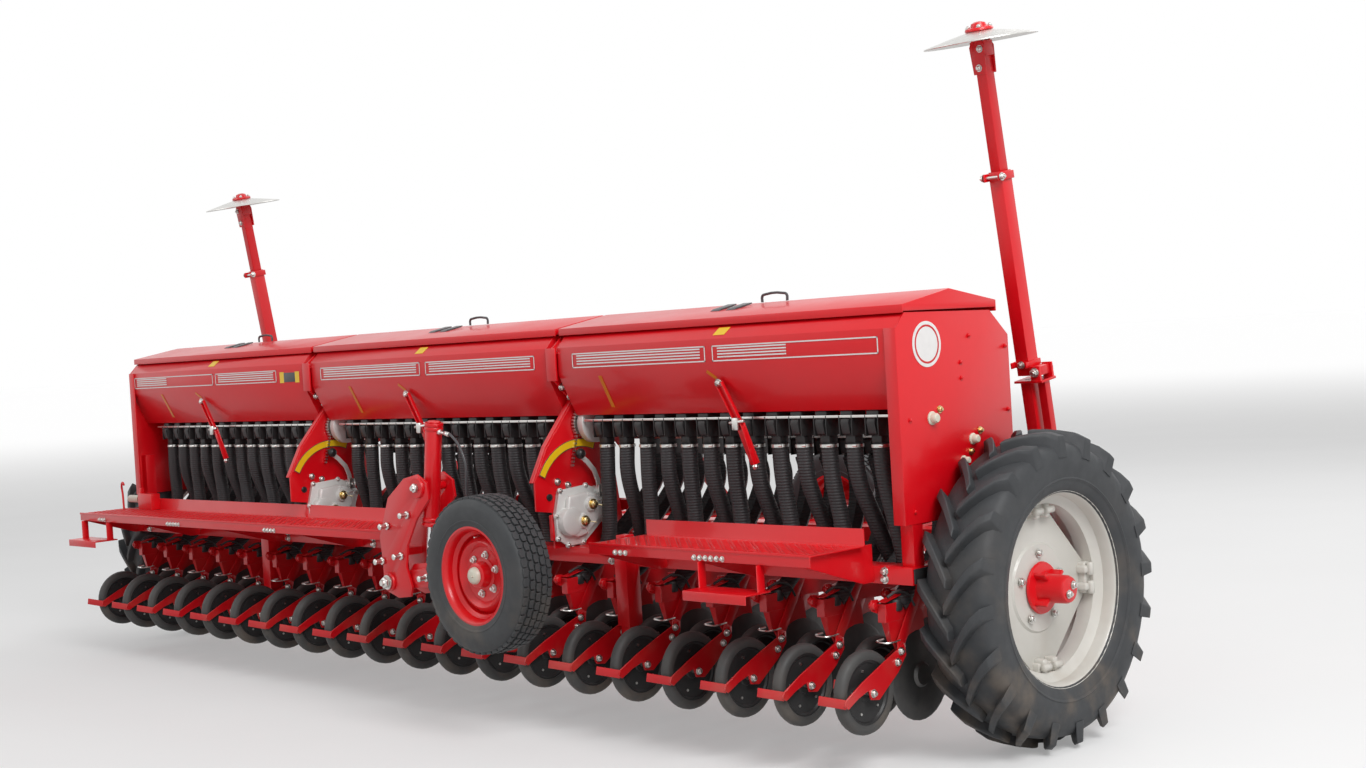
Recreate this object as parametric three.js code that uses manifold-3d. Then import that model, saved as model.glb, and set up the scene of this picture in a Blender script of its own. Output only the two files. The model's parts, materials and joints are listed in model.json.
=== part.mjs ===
// A trailed mechanical grain drill, 6 m wide, in millimetres with +Z up.
// +X is the drill's right side, +Y is forward (the drawbar), -Y is the rear, where the operator stands.
// The machine is built about the middle of its hoppers and then moved so that the origin is at the
// middle of its footprint on the ground.
import * as THREE from 'three';
import { mergeVertices } from 'three/addons/utils/BufferGeometryUtils.js';
import Module from 'manifold-3d';

const wasm = await Module();
wasm.setup();

// ---- driving dimensions -------------------------------------------------------------------------

const FIT = 0.5;                       // clearance between two pieces that touch in the real machine
const RUNNING = 1;                     // radial clearance of a pin or shaft that turns in its bore

// chassis
const FRAME_HALF = 2950;               // half the length of the cross beams
const BEAM_HEIGHT = 65;
const BEAM_DEPTH = 107;
const BEAM_TOP = 755;
const REAR_BEAM_BACK = -529;           // rear face of the rear beam
const FRONT_BEAM_FACE = 614;           // front face of the front beam
const RAIL_WIDTH = 80;
const RAIL_X = 985;

// drive wheels
const AXLE_Y = 51;
const AXLE_Z = 612;                    // height of the axle in the drawn machine
const WHEEL_RADIUS = 612;              // to the lug tips
const TYRE_WIDTH = 285;
const WHEEL_INNER_X = FRAME_HALF + 16; // inner side of each tyre
const RIM_RADIUS = 384;
const SPINDLE_RADIUS = 34;

// hoppers
const HOPPER_REAR = -542;
const HOPPER_FRONT = 160;
const HOPPER_WALL = 6;
const HOPPER_END = FRAME_HALF - 3;     // outer face of each end plate
const END_PLATE = 6;
const DIVIDER_X = 994;                 // middle of the plate between two hoppers
const DIVIDER_PLATE = 10;
const DIVIDER_GAP = 38;                // hopper end to the middle of the divider plate
const BAND_TOP = 1646;
const BAND_BOTTOM = 1525;
const METER_TOP = 1340;                // underside of the fertiliser outlets
const GRAIN_TOP = 1240;                // underside of the grain outlets
const LID_PEAK = 1785;
const LID_SHEET = 5;
const LID_OPEN_GAP = 12;               // half the gap between two lids

// seed rows
const ROWS_PER_HOPPER = 13;
const ROW_PITCH = 150;
const BANK_CENTRE = 1950;              // middle of each outer bank of coulters
const METER_PITCH = 130;
const METER_Y = -400;
const GRAIN_METER_Y = -110;
const TUBE_RADIUS = 21;

// coulters
const PIVOT_Y = 250;
const PIVOT_Z = 600;
const PIVOT_RADIUS = 25;
const ROW_STAGGER = 260;               // front coulters ahead of the rear ones
const DISC_RADIUS = 175;
const DISC_THICKNESS = 16;             // both discs of a coulter, at the hub
const DISC_Y = -390;
const DISC_Z = 330;
const PRESS_RADIUS = 156;
const PRESS_WIDTH = 50;
const HUB_Y = -724;
const HUB_Z = 320;

// transport wheels, which carry the drill endways
const SWING_PIVOT_X = 314;
const SWING_PIVOT_Z = 626;
const SWING_HUB_X = 1169;
const SWING_HUB_Z = 722;
const TRUNNION_X = 572;
const BRACKET_FOOT = 640;              // lower edge of the bracket's foot plate
const TRUNNION_Z = 1061;
const EYE_X = 512;
const EYE_Z = 655;
const CYLINDER_RADIUS = 38;
const ROD_RADIUS = 18;
const ROD_EYE_RADIUS = 34;
const ROD_EYE_BORE = 20;               // wide, as the cylinder's tilt only nearly follows the arm
const ROAD_TYRE_RADIUS = 331;
const ROAD_TYRE_WIDTH = 190;
const ROAD_RIM_RADIUS = 208;
const ROAD_TYRE_INNER = 488;           // beam face to the inner side of the tyre
const SECTOR_PLATE = 12;
const SECTOR_INNER = 325;              // beam face to the inner plate
const SECTOR_OUTER = 469;              // beam face to the outer plate
const ARM_INNER = 425;                 // beam face to the swing arm
const ARM_THICKNESS = 40;

// row markers
const MARKER_X = FRAME_HALF - 60;
const MARKER_LEAN = 0.154;             // radians back from upright
const MARKER_PIN_Y = 437;
const MARKER_PIN_Z = 1439;
const MARKER_TUBE_WIDTH = 60;
const MARKER_TUBE_DEPTH = 70;
const MARKER_WALL = 5;
const MARKER_TUBE_LENGTH = 826;
const MARKER_SHAFT_LENGTH = { right: 1310, left: 1200 };  // pin to the head that holds the disc
const MARKER_DISC_RADIUS = 230;

// footboards
const BOARD_TOP = 840;
const BOARD_REAR = -913;
const BOARD_FRONT = -600;
const BOARD_SHEET = 4;
const BOARD_FLANGE = 42;
const KICK_TOP = 905;
const STEP_X = { right: 2385, left: -2750 };
const STEP_TOP = 696;
const STEP_WIDTH = 330;

// drawbar, jack and rear legs
const DRAWBAR_HALF = 600;
const DRAWBAR_TUBE = 100;
const EYE_TIP_Y = 3260;
const EYE_CENTRE_Z = 520;
const EYE_RADIUS = 75;
const JACK_X = 300;
const JACK_Y = 2300;
const LEG_X = BANK_CENTRE - 3.5 * ROW_PITCH + 5;  // in the gap between two rows
const LEG_SIZE = 56;
const LEG_BOTTOM = 385;
const LEG_Y = REAR_BEAM_BACK - LEG_SIZE / 2 - 8;
const LEG_TOP = 830;
const LEG_SLEEVE_BOTTOM = 440;
const JACK_SLEEVE = [400, 900];
const JACK_LEG_TOP = 570;

// ---- materials ------------------------------------------------------------------------------------

const coat = (color, roughness, metalness) =>
  new THREE.MeshStandardMaterial({ color, roughness, metalness });
const paint = (color, roughness = 0.4) => coat(color, roughness, 0.1);
const metal = (color, roughness = 0.35) => coat(color, roughness, 0.9);
const RED = 0xc80a14;
const DARK_RED = 0xa00a12;
const BLACK = 0x24262a;
const RUBBER = 0x2b2d2f;
const RIM_WHITE = 0xd8d8d2;
const ZINC = 0xb9bcbf;
const CAST = 0xc2c3c0;

// ---- solids ---------------------------------------------------------------------------------------

function toManifold(geometry) {
  const bare = geometry.clone();
  bare.deleteAttribute('normal');
  bare.deleteAttribute('uv');
  const merged = mergeVertices(bare, 1e-3);
  return new wasm.Manifold(new wasm.Mesh({
    numProp: 3,
    vertProperties: new Float32Array(merged.attributes.position.array),
    triVerts: new Uint32Array(merged.index.array),
  }));
}

function toGeometry(manifold) {
  const result = manifold.getMesh();
  const geometry = new THREE.BufferGeometry();
  geometry.setAttribute('position', new THREE.BufferAttribute(result.vertProperties, 3));
  geometry.setIndex(new THREE.BufferAttribute(result.triVerts, 1));
  geometry.computeVertexNormals();
  return geometry;
}

const join = (...pieces) => toGeometry(pieces.map(toManifold).reduce((whole, piece) => whole.add(piece)));
const cut = (body, ...tools) => toGeometry(tools.map(toManifold).reduce((rest, tool) => rest.subtract(tool),
  toManifold(body)));

function box(x, y, z) {
  return new THREE.BoxGeometry(x[1] - x[0], y[1] - y[0], z[1] - z[0])
    .translate((x[0] + x[1]) / 2, (y[0] + y[1]) / 2, (z[0] + z[1]) / 2);
}

function extrude(points, length) {
  const shape = new THREE.Shape(points.map(([u, v]) => new THREE.Vector2(u, v)));
  return new THREE.ExtrudeGeometry(shape, { depth: length, bevelEnabled: false });
}

// An outline given as [y, z] points, extruded from x[0] to x[1].
function prismX(points, x) {
  const axes = new THREE.Matrix4().makeBasis(
    new THREE.Vector3(0, 1, 0), new THREE.Vector3(0, 0, 1), new THREE.Vector3(1, 0, 0));
  return extrude(points, x[1] - x[0]).applyMatrix4(axes).translate(x[0], 0, 0);
}

// An outline given as [x, z] points, extruded from y[0] to y[1].
function prismY(points, y) {
  return extrude(points, y[1] - y[0]).rotateX(Math.PI / 2).translate(0, y[1], 0);
}

// A round bar; a flat of the polygon faces down.
function barX(radius, x, y, z, sides = 16) {
  return new THREE.CylinderGeometry(radius, radius, x[1] - x[0], sides).rotateY(Math.PI / sides)
    .rotateZ(Math.PI / 2).translate((x[0] + x[1]) / 2, y, z);
}

function barY(radius, x, y, z, sides = 16) {
  return new THREE.CylinderGeometry(radius, radius, y[1] - y[0], sides)
    .translate(x, (y[0] + y[1]) / 2, z);
}

function barZ(radius, x, y, z, sides = 16) {
  return new THREE.CylinderGeometry(radius, radius, z[1] - z[0], sides).rotateX(Math.PI / 2)
    .translate(x, y, (z[0] + z[1]) / 2);
}

// A bar of rectangular section from one point to another; its depth stays in a vertical plane.
function strut(from, to, width, depth) {
  const start = new THREE.Vector3(...from);
  const along = new THREE.Vector3(...to).sub(start);
  const length = along.length();
  along.normalize();
  const side = new THREE.Vector3().crossVectors(along, new THREE.Vector3(0, 0, 1)).normalize();
  const up = new THREE.Vector3().crossVectors(side, along);
  return new THREE.BoxGeometry(width, length, depth).translate(0, length / 2, 0)
    .applyMatrix4(new THREE.Matrix4().makeBasis(side, along, up).setPosition(start));
}

// A ring or disc turned about the X axis; the profile lists [radius, x].
function turnX(profile, sides) {
  const points = profile.map(([radius, x]) => new THREE.Vector2(radius, x));
  return new THREE.LatheGeometry(points, sides).rotateY(Math.PI / sides).rotateZ(-Math.PI / 2);
}

// The inside of an open outline, set in by the wall, for a bent sheet.
function insetLine(points, wall) {
  const normals = points.slice(1).map((point, i) => {
    const run = new THREE.Vector2(point[0] - points[i][0], point[1] - points[i][1]).normalize();
    return new THREE.Vector2(-run.y, run.x);
  });
  return points.map((point, i) => {
    const before = normals[Math.max(i - 1, 0)];
    const after = normals[Math.min(i, normals.length - 1)];
    const middle = before.clone().add(after).normalize();
    const reach = wall / middle.dot(before);
    return [point[0] + middle.x * reach, point[1] + middle.y * reach];
  });
}

const sheetOutline = (points, wall) => [...points, ...insetLine(points, wall).reverse()];

function tube(points, radius, sides) {
  const ring = [];
  for (let i = 0; i < sides; i++) {
    const angle = (2 * Math.PI * i) / sides;
    ring.push(new THREE.Vector2(radius * Math.cos(angle), radius * Math.sin(angle)));
  }
  const path = new THREE.CatmullRomCurve3(points.map((point) => new THREE.Vector3(...point)));
  return new THREE.ExtrudeGeometry(new THREE.Shape(ring), {
    steps: points.length - 1, extrudePath: path, bevelEnabled: false });
}

const drill = new THREE.Group();

function add(name, material, geometry, parent = drill) {
  const mesh = new THREE.Mesh(geometry, material);
  mesh.name = name;
  parent.add(mesh);
  return mesh;
}

// ---- chassis --------------------------------------------------------------------------------------

const BEAM_BOTTOM = BEAM_TOP - BEAM_HEIGHT;
const REAR_BEAM_FACE = REAR_BEAM_BACK + BEAM_DEPTH;
const FRONT_BEAM_BACK = FRONT_BEAM_FACE - BEAM_DEPTH;
const HANGER_PLATE = 16;
const HANGER_X = FRAME_HALF - 22;
const RAIL_HANGER_X = RAIL_X - 20;

// A plate under the chassis that carries the coulters' pivot shaft.
function hanger(x) {
  const outline = [[PIVOT_Y - 60, BEAM_BOTTOM + 5], [PIVOT_Y - 45, PIVOT_Z - 45],
    [PIVOT_Y + 45, PIVOT_Z - 45], [PIVOT_Y + 60, BEAM_BOTTOM + 5]];
  const across = [x - HANGER_PLATE / 2, x + HANGER_PLATE / 2];
  return cut(prismX(outline, across),
    barX(PIVOT_RADIUS + RUNNING, [across[0] - 1, across[1] + 1], PIVOT_Y, PIVOT_Z));
}

function legSleeve(x) {
  const outer = LEG_SIZE / 2 + 8;
  const inner = LEG_SIZE / 2 + RUNNING;
  return cut(
    box([x - outer, x + outer], [LEG_Y - outer, REAR_BEAM_BACK + 5], [LEG_SLEEVE_BOTTOM, BEAM_TOP + 30]),
    box([x - inner, x + inner], [LEG_Y - inner, LEG_Y + inner], [LEG_SLEEVE_BOTTOM - 10, BEAM_TOP + 40]));
}

function chassis() {
  const z = [BEAM_BOTTOM, BEAM_TOP];
  const rails = [-RAIL_X, RAIL_X].map((x) => box([x - RAIL_WIDTH / 2, x + RAIL_WIDTH / 2],
    [REAR_BEAM_FACE - 5, FRONT_BEAM_BACK + 5], z));
  const ends = [-1, 1].map((side) => {
    const x = [FRAME_HALF - RAIL_WIDTH, FRAME_HALF].map((value) => value * side).sort((a, b) => a - b);
    return box(x, [REAR_BEAM_FACE - 5, FRONT_BEAM_BACK + 5], z);
  });
  const hangers = [-HANGER_X, -RAIL_HANGER_X, RAIL_HANGER_X, HANGER_X].map(hanger);
  return join(
    box([-FRAME_HALF, FRAME_HALF], [REAR_BEAM_BACK, REAR_BEAM_FACE], z),
    box([-FRAME_HALF, FRAME_HALF], [FRONT_BEAM_BACK, FRONT_BEAM_FACE], z),
    ...rails, ...ends, ...hangers, legSleeve(-LEG_X), legSleeve(LEG_X));
}

// The bracket and spindle that carry one drive wheel, for the right side.
function axleCarrier() {
  const x = [FRAME_HALF - 70, FRAME_HALF - 30];
  const top = BEAM_BOTTOM - FIT;
  const low = AXLE_Z - 70;
  const drop = [[AXLE_Y - 130, top], [AXLE_Y - 60, low], [AXLE_Y + 60, low], [AXLE_Y + 130, top]];
  return join(prismX(drop, x),
    barX(SPINDLE_RADIUS, [x[0] + 5, WHEEL_INNER_X + TYRE_WIDTH - 30], AXLE_Y, AXLE_Z));
}

add('main_frame', paint(RED), chassis());
add('axle_right', paint(RED), axleCarrier());
add('axle_left', paint(RED), axleCarrier().rotateZ(Math.PI).translate(0, 2 * AXLE_Y, 0));

for (const [name, x] of [['rear_leg_right', LEG_X], ['rear_leg_left', -LEG_X]]) {
  const half = LEG_SIZE / 2;
  add(name, paint(DARK_RED), join(
    box([x - half, x + half], [LEG_Y - half, LEG_Y + half], [LEG_BOTTOM, LEG_TOP]),
    box([x - half, x + half], [LEG_Y - half - 16, LEG_Y + half + 16], [LEG_BOTTOM, LEG_BOTTOM + 8])));
}

// ---- drive wheels ---------------------------------------------------------------------------------

const WHEEL_SIDES = 24;
const WHEEL_HUB_BORE = SPINDLE_RADIUS + RUNNING;

// Outer flat radius to corner radius, so that a flat of the polygon touches the ground.
const corner = (radius, sides) => radius / Math.cos(Math.PI / sides);

function driveTyre() {
  const half = TYRE_WIDTH / 2;
  const seat = RIM_RADIUS - 14;
  const outer = corner(WHEEL_RADIUS, WHEEL_SIDES);
  return turnX([[seat, -half + 42], [RIM_RADIUS + 60, -half], [outer - 50, -half], [outer, -half + 45],
    [outer, half - 45], [outer - 50, half], [RIM_RADIUS + 60, half], [seat, half - 42], [seat, -half + 42]],
  WHEEL_SIDES);
}

function driveRim() {
  const half = TYRE_WIDTH / 2;
  const seat = RIM_RADIUS - 14 - FIT;
  const inside = seat - 12;
  const hub = 62;
  return turnX([[WHEEL_HUB_BORE, -30], [hub, -30], [hub, 6], [inside, 40], [inside, -half + 20],
    [seat, -half + 20], [seat, half - 20], [inside, half - 20], [inside, 54], [hub, 20],
    [hub, 100], [WHEEL_HUB_BORE, 100], [WHEEL_HUB_BORE, -30]], WHEEL_SIDES);
}

for (const [side, sign] of [['right', 1], ['left', -1]]) {
  const wheel = new THREE.Group();
  wheel.position.set(sign * (WHEEL_INNER_X + TYRE_WIDTH / 2), AXLE_Y, AXLE_Z);
  wheel.rotation.z = sign > 0 ? 0 : Math.PI;
  drill.add(wheel);
  add(`drive_tyre_${side}`, paint(RUBBER, 0.85), driveTyre(), wheel);
  add(`drive_rim_${side}`, paint(RIM_WHITE), driveRim(), wheel);
}

// ---- hoppers --------------------------------------------------------------------------------------

const HOPPER_LINE = [[-489, 1701], [HOPPER_REAR, BAND_TOP], [HOPPER_REAR, BAND_BOTTOM],
  [METER_Y - 50, METER_TOP], [METER_Y + 60, METER_TOP], [METER_Y + 110, METER_TOP + 70],
  [GRAIN_METER_Y - 60, GRAIN_TOP], [GRAIN_METER_Y + 50, GRAIN_TOP], [HOPPER_FRONT, 1450],
  [HOPPER_FRONT, 1595], [45, 1695]];
const HINGE_Y = 98;
const HINGE_Z = 1708;
const HINGE_PIN = 6;
const HINGE_OFFSET = 600;

const HOPPERS = [
  { name: 'left', x: [-HOPPER_END + END_PLATE + FIT, -DIVIDER_X - DIVIDER_GAP] },
  { name: 'centre', x: [-DIVIDER_X + DIVIDER_GAP, DIVIDER_X - DIVIDER_GAP] },
  { name: 'right', x: [DIVIDER_X + DIVIDER_GAP, HOPPER_END - END_PLATE - FIT] },
];

// Two ears and a pin on the hopper's front slope, for the lid to turn on.
function hingeEars(x) {
  const ear = [[HINGE_Y - 12, 1640], [HINGE_Y + 12, 1620], [HINGE_Y + 12, HINGE_Z - 8],
    [HINGE_Y + 8, HINGE_Z + 9], [HINGE_Y - 8, HINGE_Z + 9], [HINGE_Y - 12, HINGE_Z - 8]];
  return join(prismX(ear, [x - 34, x - 26]), prismX(ear, [x + 26, x + 34]),
    barX(HINGE_PIN, [x - 30, x + 30], HINGE_Y, HINGE_Z, 8));
}

function hopper([x0, x1]) {
  const middle = (x0 + x1) / 2;
  const wall = prismX(sheetOutline(HOPPER_LINE, HOPPER_WALL), [x0, x1]);
  const end = (x) => prismX(HOPPER_LINE, [x, x + HOPPER_WALL]);
  return join(wall, end(x0), end(x1 - HOPPER_WALL),
    hingeEars(middle - HINGE_OFFSET), hingeEars(middle + HINGE_OFFSET));
}

const LID_LINE = [[-506, 1700], [-506, 1731], [-214, LID_PEAK], [84, 1734], [84, 1690]];

function lid([x0, x1], middle) {
  const sheet = prismX(sheetOutline(LID_LINE, -LID_SHEET).reverse(), [x0, x1]);
  const gableLine = [[-506, 1706], [-506, 1731], [-214, LID_PEAK], [84, 1734], [84, 1706]];
  const gable = (x) => prismX(gableLine, [x, x + LID_SHEET]);
  const knuckle = (x) => cut(box([x - 22, x + 22], [81, HINGE_Y + 14], [HINGE_Z - 12, HINGE_Z + 12]),
    barX(HINGE_PIN + RUNNING, [x - 23, x + 23], HINGE_Y, HINGE_Z, 8));
  return join(sheet, gable(x0), gable(x1 - LID_SHEET), knuckle(middle - HINGE_OFFSET),
    knuckle(middle + HINGE_OFFSET));
}

// The pressed plate that closes one end of the hoppers and stands on the chassis.
function endPlate() {
  const plate = [HOPPER_END - END_PLATE, HOPPER_END];
  const outline = [[HOPPER_REAR, 914], [HOPPER_REAR, BAND_TOP], [-489, 1701], [45, 1695],
    [HOPPER_FRONT, 1595], [HOPPER_FRONT, 1120], [0, 914]];
  const post = [HOPPER_END - 60, HOPPER_END - 3];
  const brace = [HOPPER_END - 34, HOPPER_END - 2];
  return join(prismX(outline, plate),
    box([HOPPER_END - 55, HOPPER_END], [HOPPER_REAR - 6, HOPPER_REAR - FIT], [914, BAND_TOP]),
    box([HOPPER_END - 6, HOPPER_END], [HOPPER_REAR - 6, HOPPER_REAR + 4], [914, BAND_TOP]),
    box(post, [-505, -445], [BEAM_TOP + FIT, 1150]), box(brace, [390, 460], [BEAM_TOP + FIT, BEAM_TOP + 60]),
    strut([HOPPER_END - 18, 425, BEAM_TOP + 45], [HOPPER_END - 18, 60, 1150], 28, 50));
}

// The plate between two hoppers: it stands on the chassis and carries a gearbox and its dial.
function divider() {
  const plate = [-DIVIDER_PLATE / 2, DIVIDER_PLATE / 2];
  const upper = [[-542, 1500], [HOPPER_REAR, BAND_TOP], [-489, 1690], [45, 1684], [HOPPER_FRONT, 1590],
    [HOPPER_FRONT, 1300], [-170, 1180], [-283, 1300], [-440, 1400]];
  const lower = [[-440, 1402], [-608, 1206], [-690, 1060], [-690, 930], [BOARD_FRONT + 6, 915],
    [BOARD_FRONT + 6, BEAM_TOP + FIT], [-200, BEAM_TOP + FIT], [-170, 789], [-240, 1300]];
  const band = box([-33, 33], [HOPPER_REAR - 10, HOPPER_REAR - 2], [1500, BAND_TOP]);
  const bandWeb = box(plate, [HOPPER_REAR - 6, HOPPER_REAR + 2], [1502, BAND_TOP - 5]);
  const flange = strut([-14, -612, 1206], [-14, -440, 1408], 28, 8);
  const rearFlange = strut([-14, -692, 1056], [-14, -610, 1206], 28, 8);
  return join(prismX(upper, plate), prismX(lower, plate), band, bandWeb, flange, rearFlange, dialArc(),
    box([-20, 20], [525, 595], [BEAM_TOP + FIT, BEAM_TOP + 60]),
    strut([0, 560, BEAM_TOP + 45], [0, 120, 1320], 40, 50));
}

// A curved scale strip beside the gearbox lever.
function dialArc() {
  const centre = [-430, 965];
  const [inner, outer] = [232, 268];
  const steps = 8;
  const at = (radius, i) => {
    const angle = 1.17 + (i / steps) * 1.5;
    return [centre[0] + radius * Math.cos(angle), centre[1] + radius * Math.sin(angle)];
  };
  const rim = [];
  for (let i = 0; i <= steps; i++) rim.push(at(outer, i));
  for (let i = steps; i >= 0; i--) rim.push(at(inner, i));
  return prismX(rim, [DIVIDER_PLATE / 2 - 1, DIVIDER_PLATE / 2 + 7]);
}

for (const { name, x } of HOPPERS) {
  add(`hopper_${name}`, paint(RED), hopper(x));
  const reach = [x[0] - DIVIDER_GAP + LID_OPEN_GAP, x[1] + DIVIDER_GAP - LID_OPEN_GAP]
    .map((edge) => THREE.MathUtils.clamp(edge, -HOPPER_END - 6, HOPPER_END + 6));
  add(`lid_${name}`, paint(RED), lid(reach, (x[0] + x[1]) / 2));
}
add('end_plate_right', paint(RED), endPlate());
const leftEnd = endPlate().scale(-1, 1, 1);
add('end_plate_left', paint(RED), flipped(leftEnd));
for (const [name, x] of [['right', DIVIDER_X], ['left', -DIVIDER_X]]) {
  add(`divider_${name}`, paint(RED), divider()).position.x = x;
}

// A mirrored geometry with its faces turned back outward.
function flipped(geometry) {
  const index = geometry.index.array;
  for (let i = 0; i < index.length; i += 3) {
    [index[i], index[i + 1]] = [index[i + 1], index[i]];
  }
  return geometry;
}

// The cast gearbox on a divider plate, with its lever.
function gearbox() {
  const x0 = DIVIDER_PLATE / 2 + FIT;
  const outline = [[-571, 1010], [-600, 900], [-596, 800], [-540, 766], [-449, 770], [-330, 860], [-301, 942],
    [-330, 990], [-420, 1020]];
  const nose = [[-540, 990], [-560, 880], [-520, 800], [-440, 805], [-345, 890], [-340, 960], [-430, 995]];
  const shaft = (y, z) => barX(16, [x0 + 60, x0 + 120], y, z, 8);
  const lever = strut([x0 + 30, -350, 985], [x0 + 24, -445, 1160], 8, 26);
  return join(prismX(outline, [x0, x0 + 55]), prismX(nose, [x0 + 50, x0 + 85]), shaft(-422, 939),
    shaft(-474, 869), lever, barX(20, [x0 + 10, x0 + 46], -450, 1170, 8));
}

for (const [name, x] of [['right', DIVIDER_X], ['left', -DIVIDER_X]]) {
  add(`gearbox_${name}`, metal(CAST, 0.5), gearbox()).position.x = x;
}

// ---- metering units and tubes ---------------------------------------------------------------------

function rowNumbers(count) {
  return Array.from({ length: count }, (_, i) => i - (count - 1) / 2);
}

const SECTIONS = [
  { name: 'left', centre: -BANK_CENTRE },
  { name: 'centre', centre: 0 },
  { name: 'right', centre: BANK_CENTRE },
];

function meters(centre, y, top, depth) {
  const half = METER_PITCH * (ROWS_PER_HOPPER - 1) / 2;
  const outline = [[y - 24, top - depth], [y + 24, top - depth], [y + 48, top - 2], [y - 48, top - 2]];
  const housing = (x) => prismX(outline, [x - 32, x + 32]);
  return join(box([centre - half - 60, centre + half + 60], [y - 9, y + 9], [top - 62, top - 44]),
    ...rowNumbers(ROWS_PER_HOPPER).map((i) => housing(centre + i * METER_PITCH)));
}

function seedTubes(centre) {
  const half = METER_PITCH * (ROWS_PER_HOPPER - 1) / 2;
  const top = METER_TOP - 133;
  const clip = box([centre - half - 30, centre + half + 30], [METER_Y - 6, METER_Y + 6],
    [top - 30, top - 18]);
  const one = (i) => {
    const from = centre + i * METER_PITCH;
    const to = centre + i * ROW_PITCH;
    const rear = (i + (ROWS_PER_HOPPER - 1) / 2) % 2 === (centre === 0 ? 1 : 0);
    const mix = (share) => from + (to - from) * share;
    const y = rear ? [-376, -370, -402] : [-340, -290, -190];
    const route = [[from, METER_Y, top], [mix(0.3), y[0], 900], [mix(0.5), y[1], 765],
      [to, y[2], BEAM_BOTTOM - 18]];
    return tube(route, TUBE_RADIUS, 5);
  };
  return join(clip, ...rowNumbers(ROWS_PER_HOPPER).map(one));
}

for (const { name, centre } of SECTIONS) {
  add(`fertiliser_meters_${name}`, paint(BLACK, 0.6), meters(centre, METER_Y, METER_TOP, 125));
  add(`grain_meters_${name}`, paint(BLACK, 0.6), meters(centre, GRAIN_METER_Y, GRAIN_TOP, 125));
  add(`seed_tubes_${name}`, paint(BLACK, 0.7), seedTubes(centre));
}

// ---- coulters -------------------------------------------------------------------------------------

// One coulter, drawn for the rear row: drag arm, seed boot, disc and scraper arm as one blade, and the
// press wheel.
function coulter(x, ahead) {
  const disc = [];
  for (let angle = 150; angle <= 430; angle += 35) {
    const turn = THREE.MathUtils.degToRad(angle);
    disc.push([DISC_Y + DISC_RADIUS * Math.cos(turn), DISC_Z + DISC_RADIUS * Math.sin(turn)]);
  }
  const blade = [[PIVOT_Y + 30 - ahead, PIVOT_Z - 28], [PIVOT_Y + 30 - ahead, PIVOT_Z + 25], [-424, 645],
    [-614, 625], [-608, 500], [HUB_Y - 20, HUB_Z + 26], [-930, 344], [-930, 320], [HUB_Y, HUB_Z - 18],
    [-560, 440], ...disc, [-420, 575]];
  return join(prismX(blade, [x - DISC_THICKNESS / 2, x + DISC_THICKNESS / 2]),
    barX(PRESS_RADIUS, [x - PRESS_WIDTH / 2, x + PRESS_WIDTH / 2], HUB_Y, HUB_Z, 10)).translate(0, ahead, 0);
}

const BANK_ENDS = { left: [-HANGER_X, -RAIL_HANGER_X - 1], centre: [-RAIL_HANGER_X + 1, RAIL_HANGER_X - 1],
  right: [RAIL_HANGER_X + 1, HANGER_X] };

function coulterBank(name, centre) {
  const shaft = barX(PIVOT_RADIUS, BANK_ENDS[name], PIVOT_Y, PIVOT_Z, 8);
  const units = rowNumbers(ROWS_PER_HOPPER).map((i) => {
    const rear = (i + (ROWS_PER_HOPPER - 1) / 2) % 2 === (centre === 0 ? 1 : 0);
    return coulter(centre + i * ROW_PITCH, rear ? 0 : ROW_STAGGER);
  });
  return join(shaft, ...units);
}

for (const { name, centre } of SECTIONS) {
  add(`coulter_bank_${name}`, paint(BLACK, 0.6), coulterBank(name, centre));
}

// ---- transport wheels -----------------------------------------------------------------------------

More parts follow.
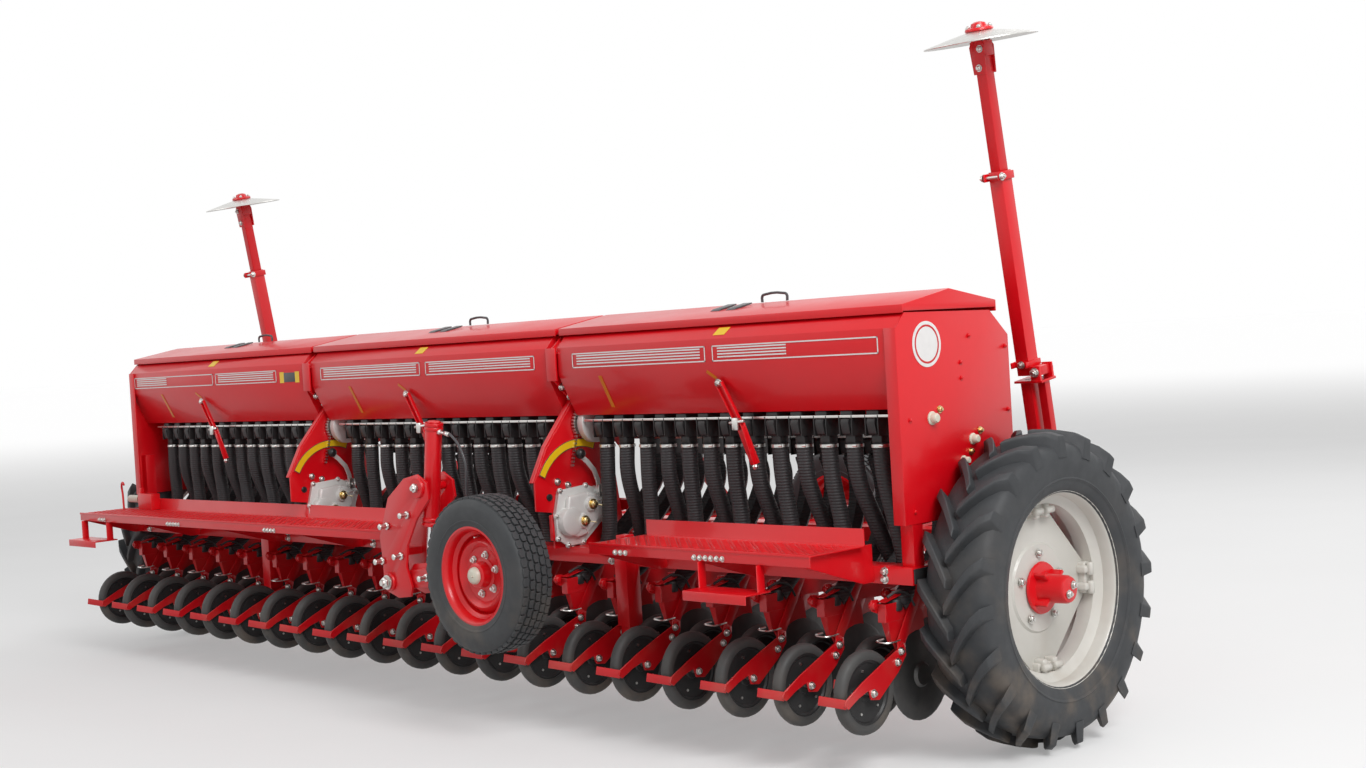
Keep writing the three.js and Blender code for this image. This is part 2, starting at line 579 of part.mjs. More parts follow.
// Drawn for the rear: the origin is on the outer face of the rear beam, at the swing pivot's X, and
// -Y leads away from the drill.
function transportUnit(name, x, y, turn) {
  const unit = new THREE.Group();
  unit.position.set(x, y, 0);
  unit.rotation.z = turn;
  drill.add(unit);
  const [tx, tz] = [TRUNNION_X - SWING_PIVOT_X, TRUNNION_Z];
  const [ex, ez] = [EYE_X - SWING_PIVOT_X, EYE_Z];
  const [hx, hz] = [SWING_HUB_X - SWING_PIVOT_X, SWING_HUB_Z];
  const middle = -(SECTOR_INNER + SECTOR_OUTER + SECTOR_PLATE) / 2;

  const sector = [[-62, 830], [-50, 720], [-48, 640], [-20, 580], [60, 556], [150, 566], [166, 610],
    [130, 700], [150, 800], [230, 920], [330, 1010], [320, 1085], [250, 1120], [150, 1100], [20, 1010]];
  const hole = barY(16 + RUNNING, 0, [-600, 0], SWING_PIVOT_Z, 12);
  const trunnionHole = barY(18 + RUNNING, tx, [-600, 0], tz, 12);
  const plate = (out) => prismY(sector, [-out - SECTOR_PLATE, -out]);
  const foot = box([-90, 130], [-24, -FIT], [BRACKET_FOOT, BEAM_TOP + 40]);
  const neck = box([-46, 60], [-SECTOR_OUTER - 4, -20], [BEAM_BOTTOM + 52, BEAM_TOP + 20]);
  add(`transport_bracket_${name}`, paint(RED),
    cut(join(plate(SECTOR_INNER), plate(SECTOR_OUTER), foot, neck), hole, trunnionHole), unit);

  const armY = [-ARM_INNER - ARM_THICKNESS, -ARM_INNER];
  const armMiddle = (armY[0] + armY[1]) / 2;
  const bar = strut([-30, armMiddle, SWING_PIVOT_Z - 3], [hx + 40, armMiddle, hz + 4], ARM_THICKNESS, 84);
  add(`transport_arm_${name}`, paint(RED), join(bar,
    barY(16, 0, [-SECTOR_OUTER - SECTOR_PLATE - 14, -SECTOR_INNER + 14], SWING_PIVOT_Z, 12),
    barY(12, ex, [armY[1] - 4, middle + 24], ez, 10),
    barY(24, hx, [-ROAD_TYRE_INNER - 150, armY[0] + 4], hz, 16)), unit);

  const lean = new THREE.Vector3(tx - ex, 0, tz - ez).normalize();
  const onAxis = (along) => [tx + lean.x * along, middle, tz + lean.z * along];
  const bore = 24;
  const along = (from, to, radius, sides = 16) => {
    const [a, b] = [new THREE.Vector3(...onAxis(from)), new THREE.Vector3(...onAxis(to))];
    const turnTo = new THREE.Quaternion().setFromUnitVectors(new THREE.Vector3(0, 1, 0), lean);
    return new THREE.CylinderGeometry(radius, radius, a.distanceTo(b), sides).applyQuaternion(turnTo)
      .translate(...a.add(b).multiplyScalar(0.5).toArray());
  };
  const trunnions = barY(18, tx, [-SECTOR_OUTER - SECTOR_PLATE - 8, -SECTOR_INNER + 8], tz, 12);
  add(`transport_cylinder_${name}`, paint(RED),
    cut(join(along(-175, 285, CYLINDER_RADIUS), trunnions), along(-180, 260, bore)), unit);
  const eyeLength = -new THREE.Vector3(tx - ex, 0, tz - ez).length();
  const eye = cut(barY(ROD_EYE_RADIUS, ex, [middle - 18, middle + 18], ez, 16),
    barY(ROD_EYE_BORE, ex, [middle - 30, middle + 30], ez, 16));
  add(`transport_rod_${name}`, metal(0xcfd2d4, 0.15),
    join(along(eyeLength + 24, -20, ROD_RADIUS, 12), along(-30, -10, bore - RUNNING, 12), eye), unit);

  const wheel = new THREE.Group();
  wheel.position.set(hx, -ROAD_TYRE_INNER - ROAD_TYRE_WIDTH / 2, hz);
  wheel.rotation.z = -Math.PI / 2;
  unit.add(wheel);
  add(`transport_tyre_${name}`, paint(RUBBER, 0.85), roadTyre(), wheel);
  add(`transport_rim_${name}`, paint(RED), roadRim(), wheel);
}

const ROAD_SIDES = 20;

function roadTyre() {
  const half = ROAD_TYRE_WIDTH / 2;
  const seat = ROAD_RIM_RADIUS - 18;
  return turnX([[seat, -half + 22], [ROAD_RIM_RADIUS + 60, -half], [ROAD_TYRE_RADIUS - 12, -half + 18],
    [ROAD_TYRE_RADIUS, -half + 34], [ROAD_TYRE_RADIUS, half - 34], [ROAD_TYRE_RADIUS - 12, half - 18],
    [ROAD_RIM_RADIUS + 60, half], [seat, half - 22], [seat, -half + 22]], ROAD_SIDES);
}

function roadRim() {
  const half = ROAD_TYRE_WIDTH / 2;
  const seat = ROAD_RIM_RADIUS - 18 - FIT;
  const inside = seat - 10;
  const bore = 24 + RUNNING;
  return turnX([[bore, -60], [52, -60], [52, 10], [inside, 20], [inside, -half + 12], [seat, -half + 12],
    [seat, half - 12], [inside, half - 12], [inside, 32], [52, 22], [52, 66], [bore, 66], [bore, -60]],
  ROAD_SIDES);
}

transportUnit('rear', SWING_PIVOT_X, REAR_BEAM_BACK, 0);
transportUnit('front', 2 * SWING_HUB_X - SWING_PIVOT_X, FRONT_BEAM_FACE, Math.PI);

// ---- row markers ----------------------------------------------------------------------------------

// Drawn for the right side about its hinge pin, with +Z up the folded arm and +X outward.
function marker(side, sign) {
  const unit = new THREE.Group();
  unit.position.set(sign * MARKER_X, MARKER_PIN_Y, MARKER_PIN_Z);
  unit.rotation.x = MARKER_LEAN;
  drill.add(unit);
  const hand = (geometry) => (sign > 0 ? geometry : flipped(geometry.scale(-1, 1, 1)));
  const tubeX = [-MARKER_TUBE_WIDTH - 14, -14];
  const tubeY = [-MARKER_TUBE_DEPTH / 2, MARKER_TUBE_DEPTH / 2];
  const foot = -(MARKER_PIN_Z - BEAM_TOP) / Math.cos(MARKER_LEAN) + 8;
  const mainPost = box([tubeX[0] + 4, tubeX[1] - 4], [tubeY[0] + 4, tubeY[1] - 4], [foot, -40]);
  const thinPost = box([4, 40], [-18, 18], [foot, -40]);
  const shelf = box([tubeX[0] - 12, 50], [-52, 52], [-44, -34]);
  const base = box([tubeX[0] - 20, 60], [-50, 50], [foot, foot + 12]);
  const ear = (y) => box([-4, 44], y, [-40, 26]);
  const pin = barY(12, 20, [-50, 50], 0, 12);
  add(`marker_mast_${side}`, paint(RED), hand(join(mainPost, thinPost, shelf, base,
    ear([-50, -40]), ear([40, 50]), pin)), unit);

  const wall = MARKER_WALL;
  const sleeve = cut(box(tubeX, tubeY, [-16, MARKER_TUBE_LENGTH]),
    box([tubeX[0] + wall, tubeX[1] - wall], [tubeY[0] + wall, tubeY[1] - wall],
      [60, MARKER_TUBE_LENGTH + 1]));
  const knuckle = cut(box([-16, 36], [-34, 34], [-16, 20]), barY(12 + RUNNING, 20, [-40, 40], 0, 12));
  add(`marker_arm_${side}`, paint(RED), hand(join(sleeve, knuckle)), unit);

  const gap = wall + 2;
  const reach = MARKER_SHAFT_LENGTH[side];
  const shaft = box([tubeX[0] + gap, tubeX[1] - gap], [tubeY[0] + gap, tubeY[1] - gap], [120, reach]);
  const discX = (tubeX[0] + tubeX[1]) / 2;
  const head = box([discX - 34, discX + 34], [-30, 30], [reach - 20, reach + 40]);
  const spindle = barZ(14, discX, 0, [reach + 30, reach + 100], 10);
  add(`marker_extension_${side}`, paint(RED), hand(join(shaft, head, spindle)), unit);

  const top = reach + 52;
  const dish = [[14 + RUNNING, 0], [34, 0], [34, 18], [MARKER_DISC_RADIUS, -14], [MARKER_DISC_RADIUS, -6],
    [34, 30], [34, 44], [14 + RUNNING, 44], [14 + RUNNING, 0]];
  const points = dish.map(([radius, z]) => new THREE.Vector2(radius, z));
  add(`marker_disc_${side}`, metal(ZINC, 0.4),
    hand(new THREE.LatheGeometry(points, 16).rotateX(Math.PI / 2).translate(discX, 0, top)), unit);
}

marker('right', 1);
marker('left', -1);

// ---- footboards -----------------------------------------------------------------------------------

function footboard(x, kick, supports) {
  const tread = box(x, [BOARD_REAR, BOARD_FRONT], [BOARD_TOP - BOARD_SHEET, BOARD_TOP]);
  const flange = box(x, [BOARD_REAR, BOARD_REAR + BOARD_SHEET], [BOARD_TOP - BOARD_FLANGE, BOARD_TOP]);
  const kickboard = box(kick, [BOARD_FRONT - BOARD_SHEET, BOARD_FRONT], [BOARD_TOP - 2, KICK_TOP]);
  const outline = [[REAR_BEAM_BACK - FIT, BEAM_BOTTOM + 4], [REAR_BEAM_BACK - FIT, BOARD_TOP - 2],
    [BOARD_REAR + 2, BOARD_TOP - 2], [BOARD_REAR + 2, BOARD_TOP - BOARD_FLANGE],
    [REAR_BEAM_BACK - 60, BEAM_BOTTOM + 4]];
  return join(tread, flange, kickboard, ...supports.map((at) => prismX(outline, [at - 4, at + 4])));
}

// A step that hangs from the rear edge of a footboard.
function step(x) {
  const y = BOARD_REAR - 37;
  const hangerZ = [STEP_TOP, BOARD_TOP - BOARD_FLANGE - FIT];
  const sides = [-1, 1].map((side) => {
    const at = x + side * (STEP_WIDTH / 2 - 12);
    return box([at - 3, at + 3], [y + 20, y + 60], hangerZ);
  });
  const tread = box([x - STEP_WIDTH / 2, x + STEP_WIDTH / 2], [y - 60, y + 80], [STEP_TOP - 6, STEP_TOP + 1]);
  const lip = box([x - STEP_WIDTH / 2, x + STEP_WIDTH / 2], [y - 60, y - 56], [STEP_TOP - 36, STEP_TOP + 1]);
  return join(tread, lip, ...sides);
}

const RIGHT_BOARD_END = FRAME_HALF - 160;
const LEFT_BOARD_END = 2 - FRAME_HALF;
add('footboard_right', paint(RED), footboard([1590, RIGHT_BOARD_END], [1610, RIGHT_BOARD_END],
  [1640, 2200, RIGHT_BOARD_END - 30]));
add('footboard_left', paint(RED), footboard([LEFT_BOARD_END, 130], [LEFT_BOARD_END + 156, 100],
  [LEFT_BOARD_END + 28, -2250, -1350, -600, 90]));
add('step_right', paint(RED), step(STEP_X.right));
add('step_left', paint(RED), step(STEP_X.left));

// ---- drawbar and jack -----------------------------------------------------------------------------

function drawbar() {
  const tube = DRAWBAR_TUBE;
  const noseY = EYE_TIP_Y - 330;
  const rootZ = BEAM_BOTTOM - 10;
  const legs = [-1, 1].map((side) => strut([side * DRAWBAR_HALF, FRONT_BEAM_FACE + 14, rootZ],
    [side * 40, noseY, EYE_CENTRE_Z + 10], 80, tube));
  const feet = [-1, 1].map((side) => {
    const x = [side * DRAWBAR_HALF - 90, side * DRAWBAR_HALF + 90];
    return box(x, [FRONT_BEAM_FACE + FIT, FRONT_BEAM_FACE + 20], [BEAM_BOTTOM - 70, BEAM_TOP + 10]);
  });
  const tie = box([-420, 420], [1310, 1390], [rootZ - 70, rootZ]);
  const nose = box([-90, 90], [noseY - 120, noseY + 60], [EYE_CENTRE_Z - 50, EYE_CENTRE_Z + 50]);
  const tongue = box([-35, 35], [noseY + 40, EYE_TIP_Y - 70], [EYE_CENTRE_Z - 20, EYE_CENTRE_Z + 20]);
  const eyeY = EYE_TIP_Y - EYE_RADIUS;
  const disc = barZ(EYE_RADIUS, 0, eyeY, [EYE_CENTRE_Z - 20, EYE_CENTRE_Z + 20], 20);
  const eyeBore = barZ(26, 0, eyeY, [EYE_CENTRE_Z - 30, EYE_CENTRE_Z + 30], 12);
  const jackBore = box([JACK_X - 36, JACK_X + 36], [JACK_Y - 36, JACK_Y + 36],
    [JACK_SLEEVE[0] - 10, JACK_SLEEVE[1] - 10]);
  const sleeve = box([JACK_X - 45, JACK_X + 45], [JACK_Y - 45, JACK_Y + 45], JACK_SLEEVE);
  const lug = box([190, JACK_X - 40], [JACK_Y - 40, JACK_Y + 40], [510, 620]);
  return cut(join(...legs, ...feet, tie, nose, tongue, disc, sleeve, lug), jackBore, eyeBore);
}

const WHEEL_LIFT = WHEEL_RADIUS - AXLE_Z;

function jackLeg() {
  const half = 34;
  const foot = 90;
  const ground = -WHEEL_LIFT;
  return join(
    box([JACK_X - half, JACK_X + half], [JACK_Y - half, JACK_Y + half], [ground + 10, JACK_LEG_TOP]),
    box([JACK_X - foot, JACK_X + foot], [JACK_Y - foot, JACK_Y + foot], [ground, ground + 12]));
}

add('drawbar', paint(RED), drawbar());
add('jack_leg', metal(ZINC), jackLeg());

// ---- the origin -------------------------------------------------------------------------------------

const REAR_MOST = REAR_BEAM_BACK - ROAD_TYRE_INNER - ROAD_TYRE_WIDTH;
drill.position.set(0, -(EYE_TIP_Y + REAR_MOST) / 2, WHEEL_LIFT);

export default drill;
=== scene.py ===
import json
import math

import bpy
from mathutils import Matrix, Vector

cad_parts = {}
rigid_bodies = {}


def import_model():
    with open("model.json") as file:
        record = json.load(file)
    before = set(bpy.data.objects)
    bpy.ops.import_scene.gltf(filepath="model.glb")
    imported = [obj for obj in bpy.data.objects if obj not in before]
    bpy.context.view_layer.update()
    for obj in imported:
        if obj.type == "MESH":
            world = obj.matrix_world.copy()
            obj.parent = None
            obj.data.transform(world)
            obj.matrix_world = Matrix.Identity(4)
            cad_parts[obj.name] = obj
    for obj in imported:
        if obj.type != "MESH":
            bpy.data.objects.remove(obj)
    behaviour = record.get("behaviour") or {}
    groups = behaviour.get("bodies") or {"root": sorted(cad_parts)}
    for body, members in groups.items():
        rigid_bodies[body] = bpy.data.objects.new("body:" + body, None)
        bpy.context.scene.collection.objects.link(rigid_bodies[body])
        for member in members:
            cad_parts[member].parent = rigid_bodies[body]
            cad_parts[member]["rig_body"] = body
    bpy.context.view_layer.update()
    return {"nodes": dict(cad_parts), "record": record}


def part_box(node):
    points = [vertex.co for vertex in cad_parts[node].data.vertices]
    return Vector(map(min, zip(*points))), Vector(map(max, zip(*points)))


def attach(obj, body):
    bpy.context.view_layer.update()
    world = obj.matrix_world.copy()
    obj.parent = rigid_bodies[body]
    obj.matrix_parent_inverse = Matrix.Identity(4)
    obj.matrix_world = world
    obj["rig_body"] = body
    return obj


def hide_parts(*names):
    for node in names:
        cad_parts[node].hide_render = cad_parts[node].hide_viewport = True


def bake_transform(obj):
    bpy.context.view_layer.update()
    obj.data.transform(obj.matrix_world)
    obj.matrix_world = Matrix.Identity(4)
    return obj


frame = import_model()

# A wide trailed grain drill. Sizes are in metres. Every piece is modelled in the drill's own frame, where
# Y is 0 at the middle of the hoppers, and settle() moves it to the middle of the footprint.

wheel_low, wheel_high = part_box("drive_tyre_right")
AXLE_Y = 0.051
AXLE_Z = (wheel_low.z + wheel_high.z) / 2
FOOTPRINT_SHIFT = (wheel_low.y + wheel_high.y) / 2 - AXLE_Y
WHEEL_X = (wheel_low.x + wheel_high.x) / 2
SIDES = (("right", 1), ("left", -1))
ENDS = (("rear", 1), ("front", -1))
BANKS = (("left", -1.95), ("centre", 0.0), ("right", 1.95))
ROW_PITCH = 0.15
METER_PITCH = 0.13
ROWS = range(-6, 7)
ROW_STAGGER = 0.26
METER_Y = -0.4
GRAIN_METER_Y = -0.11
METER_TOP = 1.34
GRAIN_METER_TOP = 1.24
BAND_Y = -0.542
FILM = 0.0006
END_FACE_X = 2.9475
BEAM_TOP = 0.755
# A lift rod stands this far towards its bank's middle, and one coulter gives way to the rear leg.
LIFT_INSET = 0.014
LEG_ROW = 3
LEG_GIVE = 0.01
HOSE_RADIUS = 0.035
GRAIN_HOSE_RADIUS = 0.038
GRAIN_HOSE_LEAN = {"left": 0.0, "centre": 0.06, "right": 0.06}


def is_rear_row(bank_centre, row):
    return (row + 6) % 2 == (1 if bank_centre == 0 else 0)


# ---- camera ------------------------------------------------------------------------------------------------

YAW, PITCH, ROLL = 0.7933, -0.023, -0.0589
CAMERA_PLACE = (7.0165, -5.6606, 1.6342)
SENSOR_WIDTH = 36
LENS = 46.51


def make_camera():
    """A long lens at shoulder height, off the drill's rear right corner."""
    level_right = Vector((math.cos(YAW), math.sin(YAW), 0))
    forward = Vector((-math.sin(YAW) * math.cos(PITCH), math.cos(YAW) * math.cos(PITCH), math.sin(PITCH)))
    level_up = level_right.cross(forward)
    right = level_right * math.cos(ROLL) + level_up * math.sin(ROLL)
    up = level_up * math.cos(ROLL) - level_right * math.sin(ROLL)
    bpy.ops.object.camera_add()
    camera = bpy.context.active_object
    turn = Matrix((right, up, -forward)).transposed().to_4x4()
    x, y, z = CAMERA_PLACE
    camera.matrix_world = Matrix.Translation((x, y + FOOTPRINT_SHIFT, z)) @ turn
    camera.data.sensor_width = SENSOR_WIDTH
    camera.data.lens = LENS
    bpy.context.scene.camera = camera


make_camera()

# ---- finishes ----------------------------------------------------------------------------------------------


class Signal:
    """One socket of a finish. Arithmetic on it adds the Math nodes that work it out."""

    def __init__(self, finish, socket):
        self.finish = finish
        self.socket = socket

    def _math(self, operation, first, second):
        return self.finish.node("ShaderNodeMath", {"operation": operation}, {0: first, 1: second})

    def __add__(self, other):
        return self._math("ADD", self, other)

    def __radd__(self, other):
        return self._math("ADD", other, self)

    def __sub__(self, other):
        return self._math("SUBTRACT", self, other)

    def __rsub__(self, other):
        return self._math("SUBTRACT", other, self)

    def __mul__(self, other):
        return self._math("MULTIPLY", self, other)

    def __rmul__(self, other):
        return self._math("MULTIPLY", other, self)

    def __pow__(self, other):
        return self._math("POWER", self, other)

    def between(self, low, high):
        """0 below low, 1 above high, and smooth from one to the other."""
        return self.finish.node("ShaderNodeMapRange", {"interpolation_type": "SMOOTHSTEP"},
                                {0: self, 1: low, 2: high, 3: 0.0, 4: 1.0})


class Finish:
    """A procedural material: fixed values on the shader, and what varies fed in through nodes."""

    def __init__(self, name, roughness=0.4, metallic=0.0, coat=0.0, specular=0.5):
        self.material = bpy.data.materials.new(name)
        self.material.use_nodes = True
        self.tree = self.material.node_tree
        self.shader = self.tree.nodes["Principled BSDF"]
        fixed = {"Roughness": roughness, "Metallic": metallic, "Coat Weight": coat, "Coat Roughness": 0.08,
                 "Specular IOR Level": specular}
        for key, value in fixed.items():
            self.shader.inputs[key].default_value = value
        self.place = self.node("ShaderNodeTexCoord", {}, {}, "Object")

    def node(self, kind, settings, values, output=0):
        made = self.tree.nodes.new(kind)
        for key, value in settings.items():
            if key == "stops":
                for stop, (position, colour) in zip(made.color_ramp.elements, value):
                    stop.position = position
                    stop.color = colour
            else:
                setattr(made, key, value)
        for key, value in values.items():
            if isinstance(value, Signal):
                self.tree.links.new(value.socket, made.inputs[key])
            else:
                made.inputs[key].default_value = value
        return Signal(self, made.outputs[output])

    def feed(self, socket, signal):
        self.tree.links.new(signal.socket, self.shader.inputs[socket])

    def noise(self, scale, detail=4.0, stretch=(1.0, 1.0, 1.0)):
        where = self.place
        if stretch != (1.0, 1.0, 1.0):
            where = self.node("ShaderNodeMapping", {}, {"Vector": self.place, "Scale": stretch})
        return self.node("ShaderNodeTexNoise", {}, {"Vector": where, "Scale": scale, "Detail": detail}, "Fac")

    def axis(self, name):
        return self.node("ShaderNodeSeparateXYZ", {}, {"Vector": self.place}, name)

    def mix(self, share, first, second):
        return self.node("ShaderNodeMix", {"data_type": "RGBA"}, {0: share, 6: first, 7: second}, 2)

    def bump(self, height, strength, distance):
        self.feed("Normal", self.node("ShaderNodeBump", {},
                                      {"Height": height, "Strength": strength, "Distance": distance}))


def colour(red, green, blue):
    return (red, green, blue, 1.0)


DUST = colour(0.36, 0.27, 0.19)


def dust_share(finish, most, top):
    """Dust that thins out with height and gathers in patches."""
    low = 1 - finish.axis("Z").between(0.0, top)
    return low * finish.noise(7.0, 6.0).between(0.42, 0.75) * most


def painted(name, base, shade, roughness=0.34, coat=0.18, dust=0.12, texture=0.06):
    """Sprayed paint: broad changes of tone, a fine orange peel, a few duller patches and low dust."""
    finish = Finish(name, roughness, coat=coat)
    tone = finish.noise(1.7, 3.0) * 0.6 + finish.noise(23.0, 2.0) * 0.4
    finish.feed("Base Color", finish.mix(dust_share(finish, dust, 0.9), finish.mix(tone, base, shade), DUST))
    finish.feed("Roughness", finish.noise(5.0, 5.0) * 0.18 + (roughness - 0.09))
    finish.bump(finish.noise(340.0, 2.0), texture, 0.0006)
    return finish.material


def tyre_rubber(name, base, shade, top):
    finish = Finish(name, 0.62, specular=0.42)
    patches = finish.noise(9.0, 6.0)
    finish.feed("Base Color", finish.mix(dust_share(finish, 0.3, top), finish.mix(patches, base, shade),
                                         DUST))
    finish.feed("Roughness", finish.noise(30.0, 4.0) * 0.3 + 0.45)
    finish.bump(finish.noise(210.0, 5.0), 0.25, 0.0012)
    return finish.material


def moulded_plastic(name, base, shade, roughness=0.45):
    finish = Finish(name, roughness, specular=0.4)
    finish.feed("Base Color", finish.mix(finish.noise(14.0, 4.0), base, shade))
    finish.feed("Roughness", finish.noise(60.0, 3.0) * 0.2 + (roughness - 0.1))
    finish.bump(finish.noise(600.0, 2.0), 0.15, 0.0005)
    return finish.material


def ribbed_hose(name):
    """Black hose with close rings round it and a soft grey bloom."""
    finish = Finish(name, 0.5, specular=0.4)
    rings = finish.node("ShaderNodeTexWave", {"bands_direction": "Z", "wave_profile": "SIN"},
                        {"Vector": finish.place, "Scale": 26.0, "Distortion": 0.0})
    ring_height = finish.node("ShaderNodeRGBToBW", {}, {0: rings})
    bloom = finish.noise(6.0, 5.0, (1.0, 1.0, 0.3))
    finish.feed("Base Color", finish.mix(bloom * 0.7 + ring_height * 0.2, colour(0.016, 0.016, 0.018),
                                         colour(0.052, 0.048, 0.05)))
    finish.feed("Roughness", bloom * 0.3 + 0.38)
    finish.bump(ring_height, 0.5, 0.003)
    return finish.material


def plated_steel(name, base, shade, roughness=0.32):
    """Zinc plate: bright, with small clouds and a fine brushed grain."""
    finish = Finish(name, roughness, metallic=1.0)
    finish.feed("Base Color", finish.mix(finish.noise(40.0, 5.0), base, shade))
    finish.feed("Roughness", finish.noise(90.0, 3.0) * 0.25 + (roughness - 0.12))
    finish.bump(finish.noise(260.0, 3.0, (1.0, 1.0, 0.15)), 0.12, 0.0004)
    return finish.material


def cast_metal(name):
    finish = Finish(name, 0.5, metallic=0.25)
    tone = finish.noise(18.0, 6.0)
    stain = finish.noise(4.0, 4.0).between(0.55, 0.75) * 0.2
    bright = finish.mix(tone, colour(0.78, 0.78, 0.76), colour(0.62, 0.62, 0.6))
    finish.feed("Base Color", finish.mix(stain, bright, colour(0.2, 0.19, 0.17)))
    finish.feed("Roughness", tone * 0.25 + 0.38)
    finish.bump(finish.noise(330.0, 5.0), 0.4, 0.0012)
    return finish.material


def disc_steel(name):
    """Rolled dark steel with faint rings from turning."""
    finish = Finish(name, 0.42, metallic=0.75)
    finish.feed("Base Color", finish.mix(finish.noise(16.0, 5.0), colour(0.05, 0.05, 0.053),
                                         colour(0.11, 0.105, 0.1)))
    finish.feed("Roughness", finish.noise(25.0, 4.0) * 0.3 + 0.3)
    finish.bump(finish.noise(120.0, 3.0, (0.2, 1.0, 1.0)), 0.15, 0.0006)
    return finish.material


def chequered_paint(name, base, shade):
    """The red of the footboards, with rows of raised bars that cross each other."""
    finish = Finish(name, 0.32, coat=0.35)
    across, along = finish.axis("X"), finish.axis("Y")
    pitch = 34.0
    cell = finish.node("ShaderNodeMath", {"operation": "SINE"}, {0: across * (pitch * math.pi)})
    other = finish.node("ShaderNodeMath", {"operation": "SINE"}, {0: along * (pitch * math.pi)})
    studs = (cell * other).between(0.25, 0.75) + (cell * other * -1.0).between(0.25, 0.75)
    normal = finish.node("ShaderNodeTexCoord", {}, {}, "Normal")
    facing = finish.node("ShaderNodeSeparateXYZ", {}, {"Vector": normal}, "Z")
    studs = studs * facing.between(0.7, 0.9)
    worn = finish.noise(6.0, 5.0)
    flat = finish.mix(worn, base, shade)
    finish.feed("Base Color", finish.mix(studs * 0.25 * worn, flat, colour(0.8, 0.35, 0.33)))
    finish.feed("Roughness", worn * 0.2 + 0.24)
    finish.bump(studs, 0.7, 0.002)
    return finish.material


def printed(name, ink, roughness=0.38):
    """Printed film or enamel with a slightly uneven tone."""
    finish = Finish(name, roughness, coat=0.2)
    darker = colour(*(channel * 0.86 for channel in ink[:3]))
    finish.feed("Base Color", finish.mix(finish.noise(30.0, 4.0), ink, darker))
    finish.feed("Roughness", finish.noise(80.0, 3.0) * 0.15 + (roughness - 0.07))
    finish.bump(finish.noise(500.0, 2.0), 0.05, 0.0003)
    return finish.material


RED = painted("red_paint", colour(0.75, 0.0015, 0.008), colour(0.65, 0.0015, 0.007))
COULTER_RED = painted("coulter_red_paint", colour(0.64, 0.003, 0.009), colour(0.5, 0.002, 0.006), dust=0.2)
CHEQUER_RED = chequered_paint("chequered_red_paint", colour(0.75, 0.004, 0.01), colour(0.65, 0.004, 0.01))
RIM_WHITE = painted("rim_paint", colour(0.66, 0.645, 0.6), colour(0.57, 0.555, 0.51), roughness=0.35,
                    coat=0.15, dust=0.3)
DRIVE_RUBBER = tyre_rubber("drive_tyre_rubber", colour(0.028, 0.03, 0.033), colour(0.055, 0.058, 0.062), 1.1)
ROAD_RUBBER = tyre_rubber("road_tyre_rubber", colour(0.03, 0.032, 0.035), colour(0.06, 0.063, 0.066), 1.0)
PRESS_RUBBER = tyre_rubber("press_wheel_rubber", colour(0.04, 0.04, 0.041), colour(0.085, 0.083, 0.08), 0.5)
BLACK_PLASTIC = moulded_plastic("black_plastic", colour(0.012, 0.012, 0.013), colour(0.035, 0.034, 0.034))
HOSE = ribbed_hose("ribbed_black_hose")
ZINC = plated_steel("zinc_plate", colour(0.74, 0.73, 0.7), colour(0.55, 0.54, 0.52))
CHROME = plated_steel("hard_chrome", colour(0.8, 0.8, 0.81), colour(0.7, 0.7, 0.71), 0.2)
BRASS = plated_steel("yellow_plated_nuts", colour(0.72, 0.56, 0.25), colour(0.6, 0.5, 0.3), 0.3)
CAST = cast_metal("cast_alloy")
DISC_STEEL = disc_steel("disc_steel")
YELLOW = printed("yellow_scale_print", colour(0.95, 0.62, 0.01))
ORANGE = printed("orange_strip", colour(0.75, 0.22, 0.01))
WHITE = printed("white_print", colour(0.85, 0.83, 0.82))
CREAM = printed("cream_cap", colour(0.72, 0.68, 0.56))
GREY = printed("dark_grey_strap", colour(0.06, 0.06, 0.065), 0.5)
RING_RED = printed("red_print", colour(0.62, 0.003, 0.008))
AMBER = printed("amber_reflector", colour(0.8, 0.25, 0.01), 0.25)
KNOB = moulded_plastic("black_knob", colour(0.012, 0.012, 0.013), colour(0.022, 0.022, 0.023), 0.3)

# ---- modelling ---------------------------------------------------------------------------------------------


def pick(*pieces):
    bpy.ops.object.select_all(action="DESELECT")
    for piece in pieces:
        piece.select_set(True)
    bpy.context.view_layer.objects.active = pieces[0]
    return pieces[0]


def edit(piece, faces=None):
    """Opens a piece in edit mode with all of it chosen, or only the faces that pass a test."""
    pick(piece)
    bpy.context.tool_settings.mesh_select_mode = (False, False, True)
    bpy.ops.object.mode_set(mode="EDIT")
    bpy.ops.mesh.select_all(action="SELECT" if faces is None else "DESELECT")
    if faces is not None:
        bpy.ops.object.mode_set(mode="OBJECT")
        for face in piece.data.polygons:
            face.select = faces(face)
        bpy.ops.object.mode_set(mode="EDIT")


def leave():
    bpy.ops.object.mode_set(mode="OBJECT")
    return bpy.context.active_object


def fixed(piece):
    pick(piece)
    bpy.ops.object.transform_apply(location=True, rotation=True, scale=True)
    return piece


def modified(piece, kind, **settings):
    pick(piece)
    modifier = piece.modifiers.new(kind.lower(), kind)
    for key, value in settings.items():
        setattr(modifier, key, value)
    bpy.ops.object.modifier_apply(modifier=modifier.name)
    return piece


def rounded(piece, width, segments=2, angle=0.6):
    """Takes the sharp edges off and shades what is left smooth."""
    modified(piece, "BEVEL", width=width, segments=segments, limit_method="ANGLE", angle_limit=angle)
    bpy.ops.object.shade_smooth_by_angle(angle=angle)
    return piece


def block(low, high, edge=0.003, segments=2):
    """A box with rounded edges between two corners."""
    low, high = Vector(low), Vector(high)
    bpy.ops.object.select_all(action="DESELECT")
    bpy.ops.mesh.primitive_cube_add(size=1, location=(low + high) / 2, scale=high - low)
    piece = fixed(bpy.context.active_object)
    return rounded(piece, edge, segments) if edge else piece


